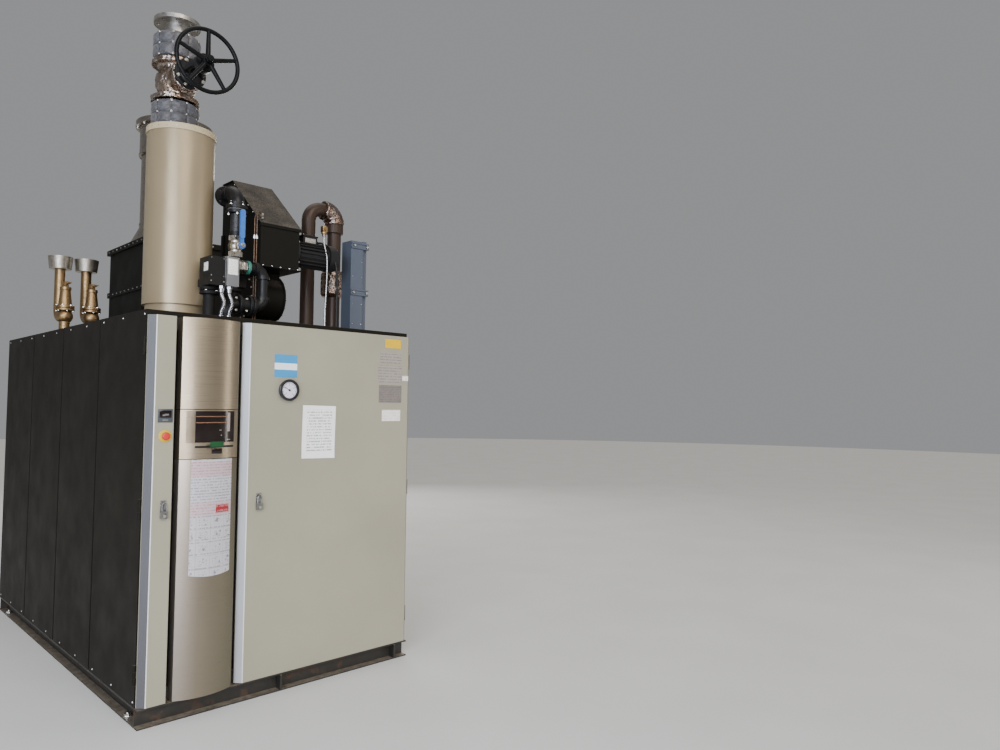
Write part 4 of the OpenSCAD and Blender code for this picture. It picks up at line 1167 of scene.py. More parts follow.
@dataclass
class Cabinet:
    """The cabinet's dressed panels and doors, with their screws, anchor nuts and latch trim."""

    pitch: float = 0.30
    screw: float = 0.006
    inset: float = 0.022
    anchor_y: float = 1.215
    anchor: float = 0.017
    door_edge: float = 0.7778
    slant: float = -0.5

    def door(self, node: str, edge: Finish) -> None:
        """Paints a door; its outer edge and hinge knuckles take the near-black wall finish as painted shade,
        and its slanted left return takes a copy of the door paint with painted light of its own.
        """
        made = Workshop.soften(node, Finishes.DOOR)
        for finish in (Finishes.WALL, edge):
            made.data.materials.append(finish.material())
        for face in made.data.polygons:
            slanted = face.normal.x < self.slant and face.normal.y < self.slant
            # The outer edge and knuckles get painted shade; the slanted left return gets its door's painted
            # light.
            face.material_index = 1 if abs(face.center.x) > self.door_edge else 2 if slanted else 0

    def screws(self) -> None:
        """Sets rows of screws along the edges of the side and rear panels."""
        part = Shape()
        margin = Vector((1, 1, 1)) * self.inset
        for node, way in (("left_side_panel", Axis.LEFT), ("right_side_panel", Axis.X),
                          ("rear_panel", Axis.Y)):
            low, high = (Vector(corner) + margin * sign for corner, sign in zip(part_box(node), (1, -1)))
            if way is Axis.Y:
                spots = product(spread(low.x, high.x, 7), (high.y + self.inset,), (low.z, high.z))
            else:
                count = int((high.y - low.y + 2 * self.inset) / self.pitch) + 1
                x = low.x - self.inset if way is Axis.LEFT else high.x + self.inset
                spots = product((x,), spread(low.y, high.y, count), (low.z, high.z))
            part.rods(spots, way, self.screw, 0.0025, 12, self.screw * 0.7)
        part.piece("panel_screws", Finishes.BOLT, "wall_paint")

    def anchors(self) -> None:
        """Sets the anchor nuts in the side rails."""
        low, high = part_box("base_side_rails")
        part = Shape()
        for x, y in product((low[0] + self.inset, high[0] - self.inset), (-self.anchor_y, self.anchor_y)):
            part.bolt((x, y, 0.008), Axis.Z, self.anchor)
        part.piece("anchor_nuts", Finishes.BOLT, "channel_paint")

    def latch(self, node: str, body: Body) -> None:
        """Adds a latch's plate rivets and its padlock's keyhole disc.

        Args:
            node: The CAD latch.
            body: The door that it rides on.
        """
        low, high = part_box(node)
        x, part = (low[0] + high[0]) / 2, Shape()
        part.rods(product((x - 0.010, x + 0.010), (high[1] - 0.003,), (high[2] - 0.010, high[2] - 0.022)),
                  Axis.FRONT, 0.0028, 0.0018, 10)
        part.rod((x, low[1], low[2] + 0.012), Axis.FRONT, 0.007, 0.0008)
        part.piece(node + ".rivets", Finishes.BOLT, "latch_steel", body)

    def build(self) -> None:
        """Builds the cabinet's small parts."""
        self.door("left_door", Finishes.PAINTED_SHADE_RETURN)
        self.door("main_door", Finishes.PAINTED_REFLECTION_RETURN)
        self.screws()
        self.anchors()
        self.latch("left_door_latch", Body.LEFT_DOOR)
        self.latch("main_door_latch", Body.MAIN_DOOR)


@dataclass
class Separator:
    """The separator's jacket trim and the padded covers above it."""

    rivet: float = 0.0045
    rivets: int = 24
    foot: float = 0.014
    seam_screws: int = 9
    seam_start: float = 0.15
    seam_pitch: float = 0.107
    seam_angle: float = 140.0
    cap_rim: float = 0.034
    hole: float = 0.06
    rows: int = 2
    quilts: int = 9
    stitch: Span = (0.045, 0.06)
    stud: float = 0.0065
    loose: float = 0.009
    steps: int = 20
    frames: int = 14
    reach: float = 0.004

    def jacket(self) -> None:
        """Adds the jacket's rivets and its cap."""
        low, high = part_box("separator_jacket")
        mid, top = heart(low, high), high[2]
        shell = (high[0] - low[0]) / 2 - self.foot
        part, cap = Shape(), Shape()
        seam = around(1, self.seam_angle)[0]
        places = [(way, 0.0025, top - self.cap_rim / 2) for way in around(self.rivets)]
        places += [(seam, 0.0005, low[2] + self.seam_start + i * self.seam_pitch)
                   for i in range(self.seam_screws)]
        for way, lift, z in places:
            part.rod(Vector((*mid, z)) + way * (shell + lift), way, self.rivet, 0.003, 10, self.rivet * 0.6)
        part.piece("jacket_rivets", Finishes.BOLT, "jacket_sheet")
        inner, outer, rim = shell + 0.0032, shell + 0.0048, top - self.cap_rim
        cap.lathe(((inner, rim), (outer, rim), (outer, top), (0.05, top + 0.0012), (0.05, top - 0.001),
                   (inner, top - 0.001), (inner, rim)), (*mid, 0), Axis.Z, 128)
        cap.piece("jacket_cap", Finishes.CAP, "jacket_sheet")

    def quilt(self, node: str, low: Point, high: Point) -> bpy.types.Object:
        """Makes a cover's plain drum, with its stitched lines in a vertex group.

        Args:
            node: The CAD cover.
            low: Its low corner.
            high: Its high corner.

        Returns:
            The drum, ready to be blown up.
        """
        mid = Vector((*heart(low, high), 0))
        radius, foot, top = (high[0] - low[0]) / 2 - self.loose, low[2], high[2]
        tall, part = top - foot, Shape()
        profile = [(self.hole, foot + 0.004), (radius * 0.8, foot + 0.003)]
        profile += [(radius - 0.004 * (i in (0, self.steps)), foot + 0.004 + (tall - 0.008) * i / self.steps)
                    for i in range(self.steps + 1)]
        profile += [(radius * 0.8, top - 0.003), (self.hole, top - 0.004)]
        part.lathe(profile, mid, Axis.Z, self.quilts * 14)
        mesh = part.outwards().mesh(node + "_pad", 180.0)
        maker = bpy.data.objects.new(node + "_pad", mesh)
        bpy.context.scene.collection.objects.link(maker)
        group = maker.vertex_groups.new(name="stitches")
        for vert in mesh.vertices:
            flat = vert.co - mid
            turn = (math.atan2(flat.y, flat.x) / math.tau * self.quilts) % 1.0
            up = ((vert.co.z - foot) / tall * self.rows) % 1.0
            inner = math.hypot(flat.x, flat.y) < radius * 0.9
            if inner or min(turn, 1 - turn) < self.stitch[0] or min(up, 1 - up) < self.stitch[1]:
                group.add([vert.index], 1.0, "REPLACE")
        return maker

    @staticmethod
    def wrinkle(pad: bpy.types.Mesh, mid: Vector, limit: float) -> None:
        """Marks the pad's seams, keeps it within its limit and adds small wrinkles.

        Args:
            pad: The blown mesh.
            mid: The point on the ground under its axis.
            limit: Its largest radius.
        """
        seam = pad.attributes.new("seam", "FLOAT", "POINT")
        for item, vert in zip(seam.data, pad.vertices):
            item.value = float(any(g.weight > 0 for g in vert.groups))
            flat = Vector((vert.co.x - mid.x, vert.co.y - mid.y, 0))
            way = flat.normalized()
            if flat.length > limit:
                vert.co -= way * (flat.length - limit)
            vert.co += way * (noise.noise(vert.co * 34.0) * 0.0012 + noise.noise(vert.co * 90.0) * 0.0005)

    def cover(self, node: str) -> None:
        """Makes one padded cover, blown up between its stitched lines by a short cloth simulation.

        Args:
            node: The CAD cover that it stands for.
        """
        low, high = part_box(node)
        maker = self.quilt(node, low, high)
        self.blow(maker)
        pad = maker.data
        self.wrinkle(pad, Vector((*heart(low, high), 0)), (high[0] - low[0]) / 2 + self.reach)
        bpy.data.objects.remove(maker)
        made = Workshop.stand_in(node, node + ".pad", pad, Finishes.CLOTH)
        finish = made.modifiers.new("Subdivision", "SUBSURF")
        finish.levels = finish.render_levels = 1

    def blow(self, maker: bpy.types.Object) -> None:
        """Runs the cloth simulation and keeps its result.

        Args:
            maker: The pad, with its stitches grouped.
        """
        scene = bpy.context.scene
        cloth = maker.modifiers.new("Cloth", "CLOTH")
        for key, value in {"use_pressure": True, "uniform_pressure_force": 20.0, "mass": 0.003, "quality": 5,
                           "shrink_min": -0.15, "vertex_group_mass": "stitches", "tension_stiffness": 7.0,
                           "compression_stiffness": 7.0, "bending_stiffness": 0.02}.items():
            setattr(cloth.settings, key, value)
        cloth.settings.effector_weights.gravity = 0.0
        cloth.point_cache.frame_start, cloth.point_cache.frame_end = 1, self.frames
        for i in range(self.frames):
            scene.frame_set(i + 1)
        blown = bpy.data.meshes.new_from_object(maker.evaluated_get(bpy.context.evaluated_depsgraph_get()))
        maker.modifiers.clear()
        maker.data = blown
        scene.frame_set(1)

    def studs(self, node: str) -> None:
        """Sets the lacing studs along a cover's stitched lines.

        Args:
            node: The CAD cover.
        """
        low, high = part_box(node)
        radius, part = (high[0] - low[0]) / 2 - self.loose, Shape()
        for way, z in product(around(self.quilts), spread(low[2] + 0.012, high[2] - 0.012, self.rows + 1)):
            at = Vector((*heart(low, high), z)) + way * radius
            part.rod(at, way, self.stud, 0.003, 14)
            part.rod(at + way * 0.003, way, self.stud * 0.8, 0.002, 14, self.stud * 0.45)
        part.piece(node + ".studs", Finishes.BOLT, "flange_steel")

    def build(self) -> None:
        """Builds the separator's pieces."""
        self.jacket()
        for node in ("neck_cover", "outlet_cover"):
            self.cover(node)
            self.studs(node)


@dataclass
class StopValve:
    """The steam stop valve: crumpled foil over its body, and its bonnet's bolts."""

    node: str = "steam_valve_body"
    cell: float = 0.0055
    depth: float = 0.006
    flange: float = 0.024
    ring: float = 0.073
    bolt: float = 0.0085

    def foil(self) -> None:
        """Wraps the body in crumpled foil, pressed inwards so that it keeps within the solid."""
        mesh = Workshop.applied("valve_foil_maker", frame["nodes"][self.node].data.copy(), "REMESH",
                                mode="VOXEL", voxel_size=self.cell)
        part = Shape()
        part.bm.from_mesh(mesh)
        bmesh.ops.smooth_vert(part.bm, verts=part.bm.verts, factor=0.5, use_axis_x=True, use_axis_y=True,
                              use_axis_z=True)
        part.push(self.crease)
        Workshop.stand_in(self.node, "valve_foil", part.outwards().mesh("valve_foil", 180.0), Finishes.FOIL)

    def crease(self, spot: Vector) -> float:
        """How far the foil is pressed at a place."""
        large, small = crumple(spot, 26.0, 60.0)
        return -self.depth * (0.75 * large + 0.35 * small + 0.15)

    def build(self) -> None:
        """Builds the stop valve's pieces."""
        self.foil()
        low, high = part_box("steam_valve_yoke")
        part = Shape()
        mid = ((low[0] + high[0]) / 2, high[1] - self.flange, (low[2] + high[2]) / 2)
        part.bolt_circle(mid, Axis.FRONT, self.ring, 8, self.bolt, 22.5)
        part.piece("bonnet_bolts", Finishes.BOLT, "flange_steel")


@dataclass
class GasTrain:
    """Bolts, tape, unions, labels and hoses of the gas train."""

    x: float = -0.1655
    y: float = -0.975
    tape: Span = (2.500, 2.604)
    gasket_z: float = 2.6255
    bolt_r: float = 0.044
    bolt: float = 0.0095
    box_x: Span = (-0.2995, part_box("gas_valve_body")[0][0])
    box_y: Span = (-1.1568, -0.9932)
    box_z: Span = (2.1552, 2.3228)
    hose_x: Span = (-0.3155, -0.2715)
    hose_y: float = -1.135
    hose_top: float = 2.124
    bow: float = 0.038
    ribs: int = 20
    pipe_y: float = -1.085
    pipe_z: float = 2.286
    run_z: float = 2.070
    stem_z: float = 2.416

    def riser(self) -> None:
        """Winds tape round the riser, and gives its flanges their bolts and gasket."""
        tape, bolts, gasket = Shape(), Shape(), Shape()
        profile = [(0.03046, self.tape[0])]
        profile += [(0.0325 + 0.0012 * (i % 3) / 2 + 0.0008 * noise.noise((0, 0, z * 90)), z)
                    for i, z in enumerate(spread(*self.tape, 27))]
        tape.lathe(profile + [(0.0300, self.tape[1])], (self.x, self.y, 0), Axis.Z, 48)
        tape.piece("riser_tape", Finishes.TAPE, "cast_dark", smooth=25.0)
        for z, way in ((2.652, Axis.Z), (2.606, Axis.DOWN)):
            bolts.bolt_circle((self.x, self.y, z), way, self.bolt_r, 4, self.bolt, 20)
        ends = [Vector((self.x, self.y, 2.660)) + way * self.bolt_r for way in around(4, 20)]
        bolts.rods(ends, Axis.Z, 0.0045, 0.014, 12)
        bolts.piece("riser_bolts", Finishes.BOLT, "flange_steel")
        gasket.rod((self.x, self.y, self.gasket_z), Axis.Z, 0.052, 0.007, 48)
        gasket.piece("riser_gasket", Finishes.PLATE, "flange_steel")

    def actuator(self) -> None:
        """Fits the actuator's end block with its two blank labels, its screws and the hoses' glands."""
        (x0, x1), (y0, y1), (z0, z1) = self.box_x, self.box_y, self.box_z
        for name, low, high, edge, finish in (
                ("end_block", (x0 - 0.0008, y0, z0), (x1 + 0.0008, y1, z1), 0.005, Finishes.PLATE),
                ("end_label", (x0 + 0.010, -1.1585, 2.222), (x1 - 0.010, -1.1560, 2.308), 0.001,
                 Finishes.TAG),
                ("side_label", (-0.3851, -1.118, 2.236), (-0.3840, -1.066, 2.282), 0.0004, Finishes.TAG)):
            part = Shape()
            part.box(low, high, edge)
            part.piece(name, finish, "actuator_grey")
        screws, glands = Shape(), Shape()
        screws.rods(product((x0 + 0.008, x1 - 0.008), (y0,), (2.164, 2.314)), Axis.FRONT, 0.0042, 0.003, 6)
        screws.rods(product((-0.376, -0.308), (-1.142,), (2.208, 2.304)), Axis.FRONT, 0.0040, 0.0025, 12,
                    0.003)
        screws.rods(product((-0.380, -0.310), (-1.150,), (2.177,)), Axis.FRONT, 0.0045, 0.003, 6)
        screws.bolt_circle((-0.3475, -1.053, 2.136), Axis.DOWN, 0.041, 4, 0.007, 45)
        screws.piece("actuator_screws", Finishes.BOLT, "flange_steel")
        for z, way, radius, length, sides in ((2.156, Axis.DOWN, 0.0165, 0.014, 6),
                                              (2.143, Axis.DOWN, 0.0140, 0.022, 20),
                                              (DECK, Axis.Z, 0.0140, 0.030, 20),
                                              (DECK, Axis.Z, 0.0165, 0.010, 6)):
            glands.rods(product(self.hose_x, (self.hose_y,), (z,)), way, radius, length, sides)
        glands.piece("hose_glands", Finishes.HOSE, "flex_steel")

    def hoses(self) -> None:
        """Makes the two ribbed metal hoses that bow forward from the actuator to the roof."""
        part, shares = Shape(), spread(0, 1, 121)
        for x in self.hose_x:
            path = [Vector((x, self.hose_y - self.bow * math.sin(math.pi * t) ** 2,
                            self.hose_top + (DECK + 0.028 - self.hose_top) * t)) for t in shares]
            part.sweep(path, lambda share: 0.0098 + 0.0012 * math.cos(share * math.tau * self.ribs), 16)
        part.piece("ribbed_hoses", Finishes.HOSE, "flex_steel", smooth=60.0, node="valve_conduits")

    def unions(self) -> None:
        """Puts the plated unions, the green seal ring and the flanges' bolts on the burner pipe."""
        start, ends = self.box_x[1], (self.pipe_y, self.pipe_z)
        nickel, ring, bolts = Shape(), Shape(), Shape()
        for shift, radius, length, sides in ((0.0075, 0.0425, 0.027, 6), (0.0415, 0.0385, 0.025, 6),
                                             (0.0335, 0.0335, 0.009, 40)):
            nickel.rod((start + shift, *ends), Axis.X, radius, length, sides)
        nickel.bevel_sharp(0.5, 0.0012)
        nickel.piece("pipe_unions", Finishes.NICKEL, "valve_nickel")
        ring.lathe(((0.030, 0.0715), (0.0365, 0.0715), (0.0382, 0.0735), (0.0382, 0.0865), (0.0365, 0.0885),
                    (0.030, 0.0885), (0.030, 0.0715)), (start, *ends), Axis.X, 48)
        ring.piece("seal_ring", Finishes.SEAL, "valve_nickel")
        for x, way in ((-0.1225, Axis.X), (-0.1585, Axis.LEFT), (-0.2195, Axis.LEFT)):
            bolts.bolt_circle((x, self.pipe_y, self.run_z), way, 0.047, 4, 0.0085, 45)
        bolts.piece("run_bolts", Finishes.BOLT, "flange_steel")

    def stem(self) -> None:
        """Puts the nut on the lever's stem."""
        part = Shape()
        part.rod((self.x, -1.0575, self.stem_z), Axis.FRONT, 0.0135, 0.0075, 6)
        part.rod((self.x, -1.064, self.stem_z), Axis.FRONT, 0.0070, 0.004, 12, 0.006)
        part.piece("stem_nut", Finishes.BOLT, "valve_nickel", Body.LEVER)

    def build(self) -> None:
        """Builds the gas train's pieces."""
        for step in (self.riser, self.actuator, self.hoses, self.unions, self.stem):
            step()


@dataclass
class AirSide:
    """Screws, cable, tubes and the small switch round the air duct and blower."""

    screw: float = 0.0055
    lip: float = 0.016
    motor: Point = (0.2155, -0.939, 2.444)
    box_z: float = 2.535
    scroll: Span = (-0.775, 2.156)
    scroll_r: float = 0.100
    growth: float = 0.070
    scroll_bolts: int = 16
    tube: float = 0.0036
    tube_y: float = -1.036
    switch_at: Point = (0.3985, -0.991, 2.601)

    def duct(self) -> None:
        """Sets the screws round the duct's flange and along its lid."""
        part = Shape()
        low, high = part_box("air_duct")
        front, flange = low[1] + self.lip, low[2] + 0.006
        xs = spread(low[0] + self.lip + 0.012, high[0] - self.lip - 0.012, 5)
        ys = spread(front + 0.03, front + 0.49, 7)
        part.rods(product(xs, (low[1] + 0.007,), (flange,)), Axis.Z, self.screw, 0.004, 6)
        part.rods(product((low[0] + 0.007, high[0] - 0.007), ys, (flange,)), Axis.Z, self.screw, 0.004, 6)
        lid = [(low[0] + 0.008, front + 0.380 * share, low[2] + 0.252 + 0.320 * share)
               for share in spread(1 / 12, 11 / 12, 6)]
        part.rods(lid, Axis.LEFT, 0.004, 0.0025, 10, 0.003)
        part.piece("duct_screws", Finishes.BOLT, "duct_paint")

    def blower(self) -> None:
        """Bolts the motor's seat and the scroll, and fits the terminal box's gland, cable and plain plate."""
        bolts, plate, cable = Shape(), Shape(), Shape()
        bolts.bolt_circle(self.motor, Axis.X, 0.088, 4, 0.0085, 45)
        bolts.rods(product((0.2665, 0.3565), (-0.975, -0.903), (2.564,)), Axis.Z, 0.005, 0.003, 6)
        low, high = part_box("blower_casing")
        for i, way in enumerate(around(self.scroll_bolts)):
            radius = self.scroll_r + self.growth * (-i % self.scroll_bolts) / self.scroll_bolts
            y, z = self.scroll[0] + radius * way.x, self.scroll[1] + radius * way.y
            bolts.rod((high[0], y, z), Axis.X, self.screw, 0.004, 6)
            bolts.rod((low[0], y, z), Axis.LEFT, self.screw, 0.004, 6)
        bolts.piece("blower_bolts", Finishes.BOLT, "motor_paint")
        plate.box((0.2755, -0.9785, 2.518), (0.3475, -0.9765, 2.546), 0.0005)
        plate.piece("motor_plate", Finishes.ETCHED, "motor_paint")
        y, z = self.motor[1], self.box_z
        cable.rod((0.3555, y, z), Axis.X, 0.014, 0.018, 6)
        cable.rod((0.3735, y, z), Axis.X, 0.011, 0.012, 20, 0.008)
        cable.tube(((0.380, y, z), (0.420, -0.945, 2.533), (0.455, -0.975, 2.50), (0.470, -1.010, 2.42),
                    (0.475, -1.030, 2.30), (0.475, -1.030, 2.12), (0.475, -1.030, DECK)), 0.0065, 8, 14)
        cable.piece("motor_cable", Finishes.IRON, "motor_paint")

    def tubes(self) -> None:
        """Runs the thin copper tubes from the duct's front down behind the gas valve, with their fittings."""
        tubes, nuts, y = Shape(), Shape(), self.tube_y
        for x, top in ((-0.0700, 2.620), (-0.0840, 2.600)):
            tubes.tube(((-0.036, -1.028, top), (x + 0.012, -1.034, top + 0.012), (x, y, top - 0.010),
                        (x, y, top - 0.08), (x, y, 2.30), (x, y, DECK)), self.tube, 10, 12)
            nuts.rod((x, y, 2.470), Axis.Z, 0.0085, 0.014, 6)
            nuts.rod((x, y, 2.484), Axis.Z, 0.0065, 0.008, 14)
            nuts.rod((-0.0420, -1.028, top), Axis.X, 0.0085, 0.012, 6)
            nuts.rod((x, y, DECK), Axis.Z, 0.009, 0.014, 6)
        tubes.piece("copper_tubes", Finishes.COPPER, "bronze")
        nuts.piece("tube_fittings", Finishes.BOLT, "flange_steel")

    def switch(self) -> None:
        """Stands the small bronze switch over the motor, with its thin silver tube down to the roof."""
        part, tube, (x, y, z) = Shape(), Shape(), self.switch_at
        part.rod((x, y, z - 0.030), Axis.Z, 0.011, 0.016, 6)
        part.rod((x, y, z - 0.014), Axis.Z, 0.018, 0.010, 28)
        part.box((x - 0.018, y - 0.016, z - 0.004), (x + 0.018, y + 0.016, z + 0.034), 0.004)
        part.rod((x, y - 0.016, z + 0.016), Axis.FRONT, 0.010, 0.006)
        part.piece("small_switch", Finishes.BRONZE, "bronze")
        foot = (x - 0.012, y - 0.048, DECK)
        tube.tube(((x, y, z - 0.028), (x, y - 0.004, 2.52), (x + 0.006, y - 0.030, 2.42),
                   (x - 0.004, y - 0.046, 2.25), (x - 0.012, y - 0.048, 2.08), foot), 0.005, 10, 12)
        tube.rod(foot, Axis.Z, 0.010, 0.014, 6)
        tube.piece("switch_tube", Finishes.HOSE, "flex_steel")

    def build(self) -> None:
        """Builds the air side's pieces."""
        for step in (self.duct, self.blower, self.tubes, self.switch):
            step()


@dataclass
class Flue:
    """Bolts, bands and screws of the flue box and stack."""

    band: tuple[Span, ...] = ((-0.002, -0.010), (0.002, -0.010), (0.004, -0.004), (0.004, 0.004),
                              (0.002, 0.010), (-0.002, 0.010), (-0.002, -0.010))
    slim: float = 0.2345
    wide: float = 0.2505
    seam: float = 0.008
    screw: float = 0.006

    def build(self) -> None:
        """Builds the flue's pieces."""
        low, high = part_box("flue_stack")
        mid = Vector((*heart(low, high), 0))
        bolts, bands, screws = Shape(), Shape(), Shape()
        for count, start, radius, z, axis, size in ((12, 15, 0.266, high[2] - 0.040, Axis.DOWN, 0.011),
                                                    (16, 0, 0.285, low[2] + 0.012, Axis.Z, 0.009)):
            for way in around(count, start):
                bolts.bolt(mid + way * radius + Vector((0, 0, z)), axis, size)
        bolts.piece("stack_bolts", Finishes.BOLT, "flue_steel")
        for z, r in ((low[2] + 0.170, self.slim), (high[2] - 0.255, self.wide), (high[2] - 0.050, self.wide)):
            bands.lathe([(r + out, up) for out, up in self.band], mid + Vector((0, 0, z)), Axis.Z, 96)
        bands.piece("stack_bands", Finishes.FLUE, "flue_steel")
        (x0, y0, z0), (x1, y1, z1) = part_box("flue_box")
        xs, ys = spread(x0 + 0.05, x1 - 0.05, 9), spread(y0 + 0.06, y1 - 0.06, 10)
        for z, off in ((z0 + 0.030, self.seam), (z0 + 0.400, self.seam), (z1 - 0.020, 0.0)):
            for spots, way in ((product(xs, (y0 + off,), (z,)), Axis.FRONT),
                               (product(xs, (y1 - off,), (z,)), Axis.Y),
                               (product((x0 + off,), ys, (z,)), Axis.LEFT),
                               (product((x1 - off,), ys, (z,)), Axis.X)):
                screws.rods(spots, way, self.screw, 0.004, 6)
        screws.piece("box_screws", Finishes.BOLT, "duct_paint")


@dataclass
class Rear:
    """Foil and fasteners of the feed pipe, the safety valves and the wiring trunk."""

    feed_x: Span = (0.7055, 0.5055)
    feed_y: float = -0.615
    bend_r: float = 0.090
    bend_z: float = 0.790
    drums: tuple[tuple[float, float, float], ...] = ((0.2934, 0.170, 0.078), (0.468, 0.120, 0.064))
    shoulder: float = 0.024
    steps: int = 36
    relief_x: Span = (-0.5775, -0.4075)
    relief_y: float = 0.795

    def feed(self) -> None:
        """Bolts the feed pipe's feet."""
        part = Shape()
        for x, way in product(self.feed_x, around(4, 45)):
            part.bolt(Vector((x, self.feed_y, DECK + 0.018)) + way * 0.057, Axis.Z, 0.010)
        part.piece("feed_bolts", Finishes.BOLT, "flange_steel")

    def wraps(self) -> None:
        """Wraps the feed pipe's two drums and its wide bend in crumpled foil."""
        part = Shape()
        for x, (rise, tall, radius) in zip(self.feed_x, self.drums):
            foot = DECK + rise
            profile = [(0.047, foot - 0.0015)]
            for i in range(self.steps + 1):
                share = min(1.0, min(i, self.steps - i) * tall / self.steps / self.shoulder)
                inset = self.shoulder * (1 - math.sqrt(1 - (1 - share) ** 2))
                profile.append((radius - inset + 0.001, foot + tall * i / self.steps))
            part.lathe(profile + [(0.047, foot + tall + 0.0015)], (x, self.feed_y, 0), Axis.Z, 96)
        mid = Vector((self.feed_x[0] - self.bend_r, self.feed_y, DECK + self.bend_z))
        path = [mid + Vector((math.cos(a), 0, math.sin(a))) * self.bend_r
                for a in map(math.radians, spread(4, 88, 29))]
        part.sweep(path, lambda share: 0.0612, 72)
        part.outwards().push(self.crease)
        part.piece("feed_wraps", Finishes.BROWN_FOIL, "lagging", smooth=180.0)

    @staticmethod
    def crease(spot: Vector) -> float:
        """How far the foil stands out at a place."""
        large, small = crumple(spot, 34.0, 80.0)
        return 0.0008 + 0.0055 * (0.7 * large + 0.4 * small)

    def valves(self) -> None:
        """Bolts the safety valves' feet and bonnets."""
        part = Shape()
        for x in self.relief_x:
            for rise, way, *ring in ((0.020, Axis.Z, 0.046, 4, 0.009, 45),
                                     (0.224, Axis.Z, 0.052, 6, 0.0065, 0),
                                     (0.190, Axis.DOWN, 0.053, 6, 0.0055, 30)):
                part.bolt_circle((x, self.relief_y, DECK + rise), way, *ring)
        part.piece("relief_bolts", Finishes.BOLT, "flange_steel")

    def trunk(self) -> None:
        """Screws the trunk's lid and clamps its struts."""
        left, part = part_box("wiring_trunk")[0][0], Shape()
        lid = product((left + 0.014, left + 0.081), (-0.938,), (2.05, 2.18, 2.36, 2.46))
        part.rods(lid, Axis.FRONT, 0.004, 0.003, 12, 0.003)
        struts = product((left + 0.02, left + 0.118), (-0.942,), (2.2575, 2.5665))
        part.rods(struts, Axis.FRONT, 0.009, 0.006, 6)
        part.piece("trunk_screws", Finishes.BOLT, "flange_steel")

    def build(self) -> None:
        """Builds the rear's pieces."""
        for step in (self.feed, self.wraps, self.valves, self.trunk):
            step()


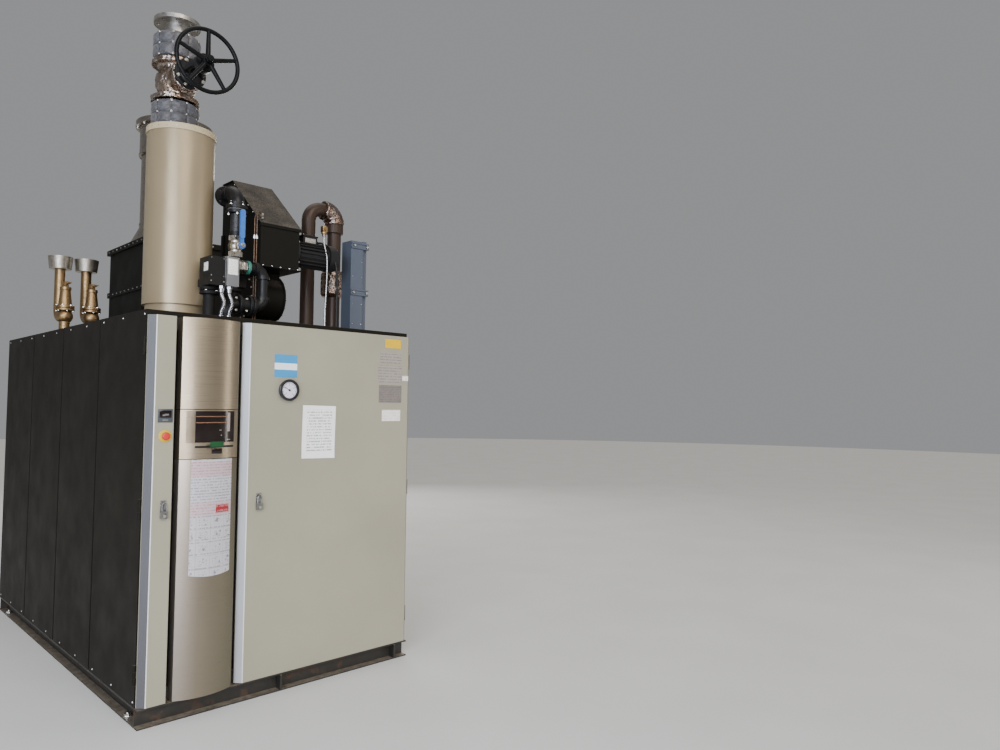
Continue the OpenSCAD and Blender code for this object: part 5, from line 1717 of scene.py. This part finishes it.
@dataclass
class Studio:
    """The pale floor, the soft lights and the camera."""

    eye: Point = (-2.0655, -5.064, 1.520)
    yaw: float = math.radians(44.69165832)
    pitch: float = math.radians(2.41680199)
    roll: float = math.radians(0.68031545)
    lens: float = 26.82
    floor_size: float = 60.0
    world: Colour = (0.80, 0.81, 0.83)
    world_strength: float = 0.37

    def camera(self) -> None:
        """Sets the camera where the photograph was taken."""
        level = math.cos(self.pitch)
        forward = Vector((math.sin(self.yaw) * level, math.cos(self.yaw) * level, math.sin(self.pitch)))
        right = Vector((math.cos(self.yaw), -math.sin(self.yaw), 0.0))
        up = right.cross(forward)
        turned = right * math.cos(self.roll) + up * math.sin(self.roll)
        upright = up * math.cos(self.roll) - right * math.sin(self.roll)
        data = bpy.data.cameras.new("camera")
        data.sensor_width, data.lens, data.clip_end = 36.0, self.lens, 200.0
        camera = bpy.data.objects.new("camera", data)
        place = Matrix((turned, upright, -forward)).transposed().to_4x4()
        camera.matrix_world = Matrix.Translation(self.eye) @ place
        bpy.context.scene.collection.objects.link(camera)
        bpy.context.scene.camera = camera

    def lamp(self, name: str, spot: Point, aim: Point, power: float, colour: Colour,
             size: Optional[Span] = None, angle: float = 0.0) -> None:
        """Adds one soft light: a rectangle, or a wide sun, which lights the floor evenly.

        Args:
            name: The light's name.
            spot: Where it hangs.
            aim: The point that it faces.
            power: Its power in watts, or the sun's strength.
            colour: Its colour.
            size: A rectangle's width and height, in metres.
            angle: How wide the sun is, in degrees.
        """
        data = bpy.data.lights.new(name, "AREA" if size else "SUN")
        made = bpy.data.objects.new(name, data)
        data.energy, data.color = power, colour
        if size:
            data.shape = "RECTANGLE"
            data.size, data.size_y = size
            made.location, made.visible_camera = spot, False
        else:
            data.angle = math.radians(angle)
        made.rotation_euler = (Vector(aim) - Vector(spot)).to_track_quat("-Z", "Y").to_euler()
        bpy.context.scene.collection.objects.link(made)

    def surroundings(self) -> None:
        """Lays the floor and sets the pale world."""
        part = Shape()
        bmesh.ops.create_circle(part.bm, cap_ends=True, segments=96, radius=self.floor_size / 2)
        mesh = bpy.data.meshes.new("floor")
        part.bm.to_mesh(mesh)
        part.bm.free()
        floor = bpy.data.objects.new("floor", mesh)
        g = Graph("floor_plain")
        pale = g.mix(g.patches(1.5, 3), (0.66, 0.66, 0.65), (0.70, 0.70, 0.69))
        mesh.materials.append(g.settle(pale, 0.9))
        bpy.context.scene.collection.objects.link(floor)
        world = bpy.data.worlds.new("pale")
        world.use_nodes = True
        colour, strength = world.node_tree.nodes["Background"].inputs[:2]
        colour.default_value, strength.default_value = (*self.world, 1.0), self.world_strength
        bpy.context.scene.world = world

    def build(self) -> None:
        """Sets up the whole studio."""
        self.camera()
        self.surroundings()
        self.lamp("front", (-0.6, -5.0, 3.2), (0.0, 0.0, 0.0), 2.1, (1.0, 0.93, 0.82), angle=38.0)
        self.lamp("daylight_left", (-5.6, -5.6, 3.0), (-0.1, -1.2, 1.5), 470.0, (0.78, 0.86, 1.0), (3.4, 3.6))
        self.lamp("panel_left", (-3.35, -6.7, 1.6), (-0.55, -1.42, 1.45), 110.0, (0.92, 0.92, 1.0),
                  (2.1, 1.5))
        self.lamp("strip_right", (6.4, -6.3, 2.4), (-0.45, -1.4, 1.6), 76.0, (1.0, 0.93, 0.84), (0.55, 4.6))
        self.lamp("top", (0.0, 0.8, 8.0), (0.0, 0.0, 2.0), 80.0, (1.0, 0.98, 0.95), (5.0, 5.0))
        self.lamp("back_right", (5.0, 6.5, 4.0), (0.0, 0.5, 1.6), 200.0, (1.0, 0.97, 0.93), (3.5, 3.5))


RIM_SWELL = 0.0022
SOFTENED = {
    Finishes.CHANNEL: ("base_side_rails", "base_end_rails", "base_cross_members"),
    Finishes.WALL: ("left_side_panel", "right_side_panel", "rear_panel", "roof_deck", "left_door_hinges",
                    "main_door_hinges"),
    Finishes.FRAME: ("front_frame",), Finishes.CASING: ("boiler_casing",),
    Finishes.COLUMN: ("column_upper", "control_panel"), Finishes.LOWER_COLUMN: ("column_lower",),
    Finishes.PANE: ("display_window",), Finishes.PLATED: ("left_door_latch", "main_door_latch"),
    Finishes.JACKET: ("separator_jacket",), Finishes.FLANGE: ("outlet_flange",),
    Finishes.IRON: ("steam_valve_yoke", "gas_inlet_pipe", "burner_gas_pipe"),
    Finishes.NICKEL: ("gas_ball_valve",), Finishes.LEVER: ("ball_valve_lever",),
    Finishes.ACTUATOR: ("gas_valve_actuator", "gas_valve_body"),
    Finishes.DUCT: ("air_duct", "blower_casing", "flue_box"), Finishes.MOTOR: ("blower_motor",),
    Finishes.FLUE: ("flue_stack",), Finishes.TRUNK: ("wiring_trunk",), Finishes.LAGGING: ("feed_pipe",),
    Finishes.BRONZE: ("safety_valves",), Finishes.PAN: ("drip_pans",),
}


def main() -> None:
    """Builds the studio and every part of the boiler, and reports each piece."""
    logging.basicConfig(level=logging.INFO, format="%(message)s")
    Studio().build()
    for finish, nodes in SOFTENED.items():
        for node in nodes:
            Workshop.soften(node, finish)
    Workshop.soften("handwheel", Finishes.WHEEL, swell=RIM_SWELL)
    for assembly in (Cabinet(), Front(), Separator(), StopValve(), GasTrain(), AirSide(), Flue(), Rear()):
        assembly.build()
        LOG.info("built %s", type(assembly).__name__)


if __name__ == "__main__":
    main()
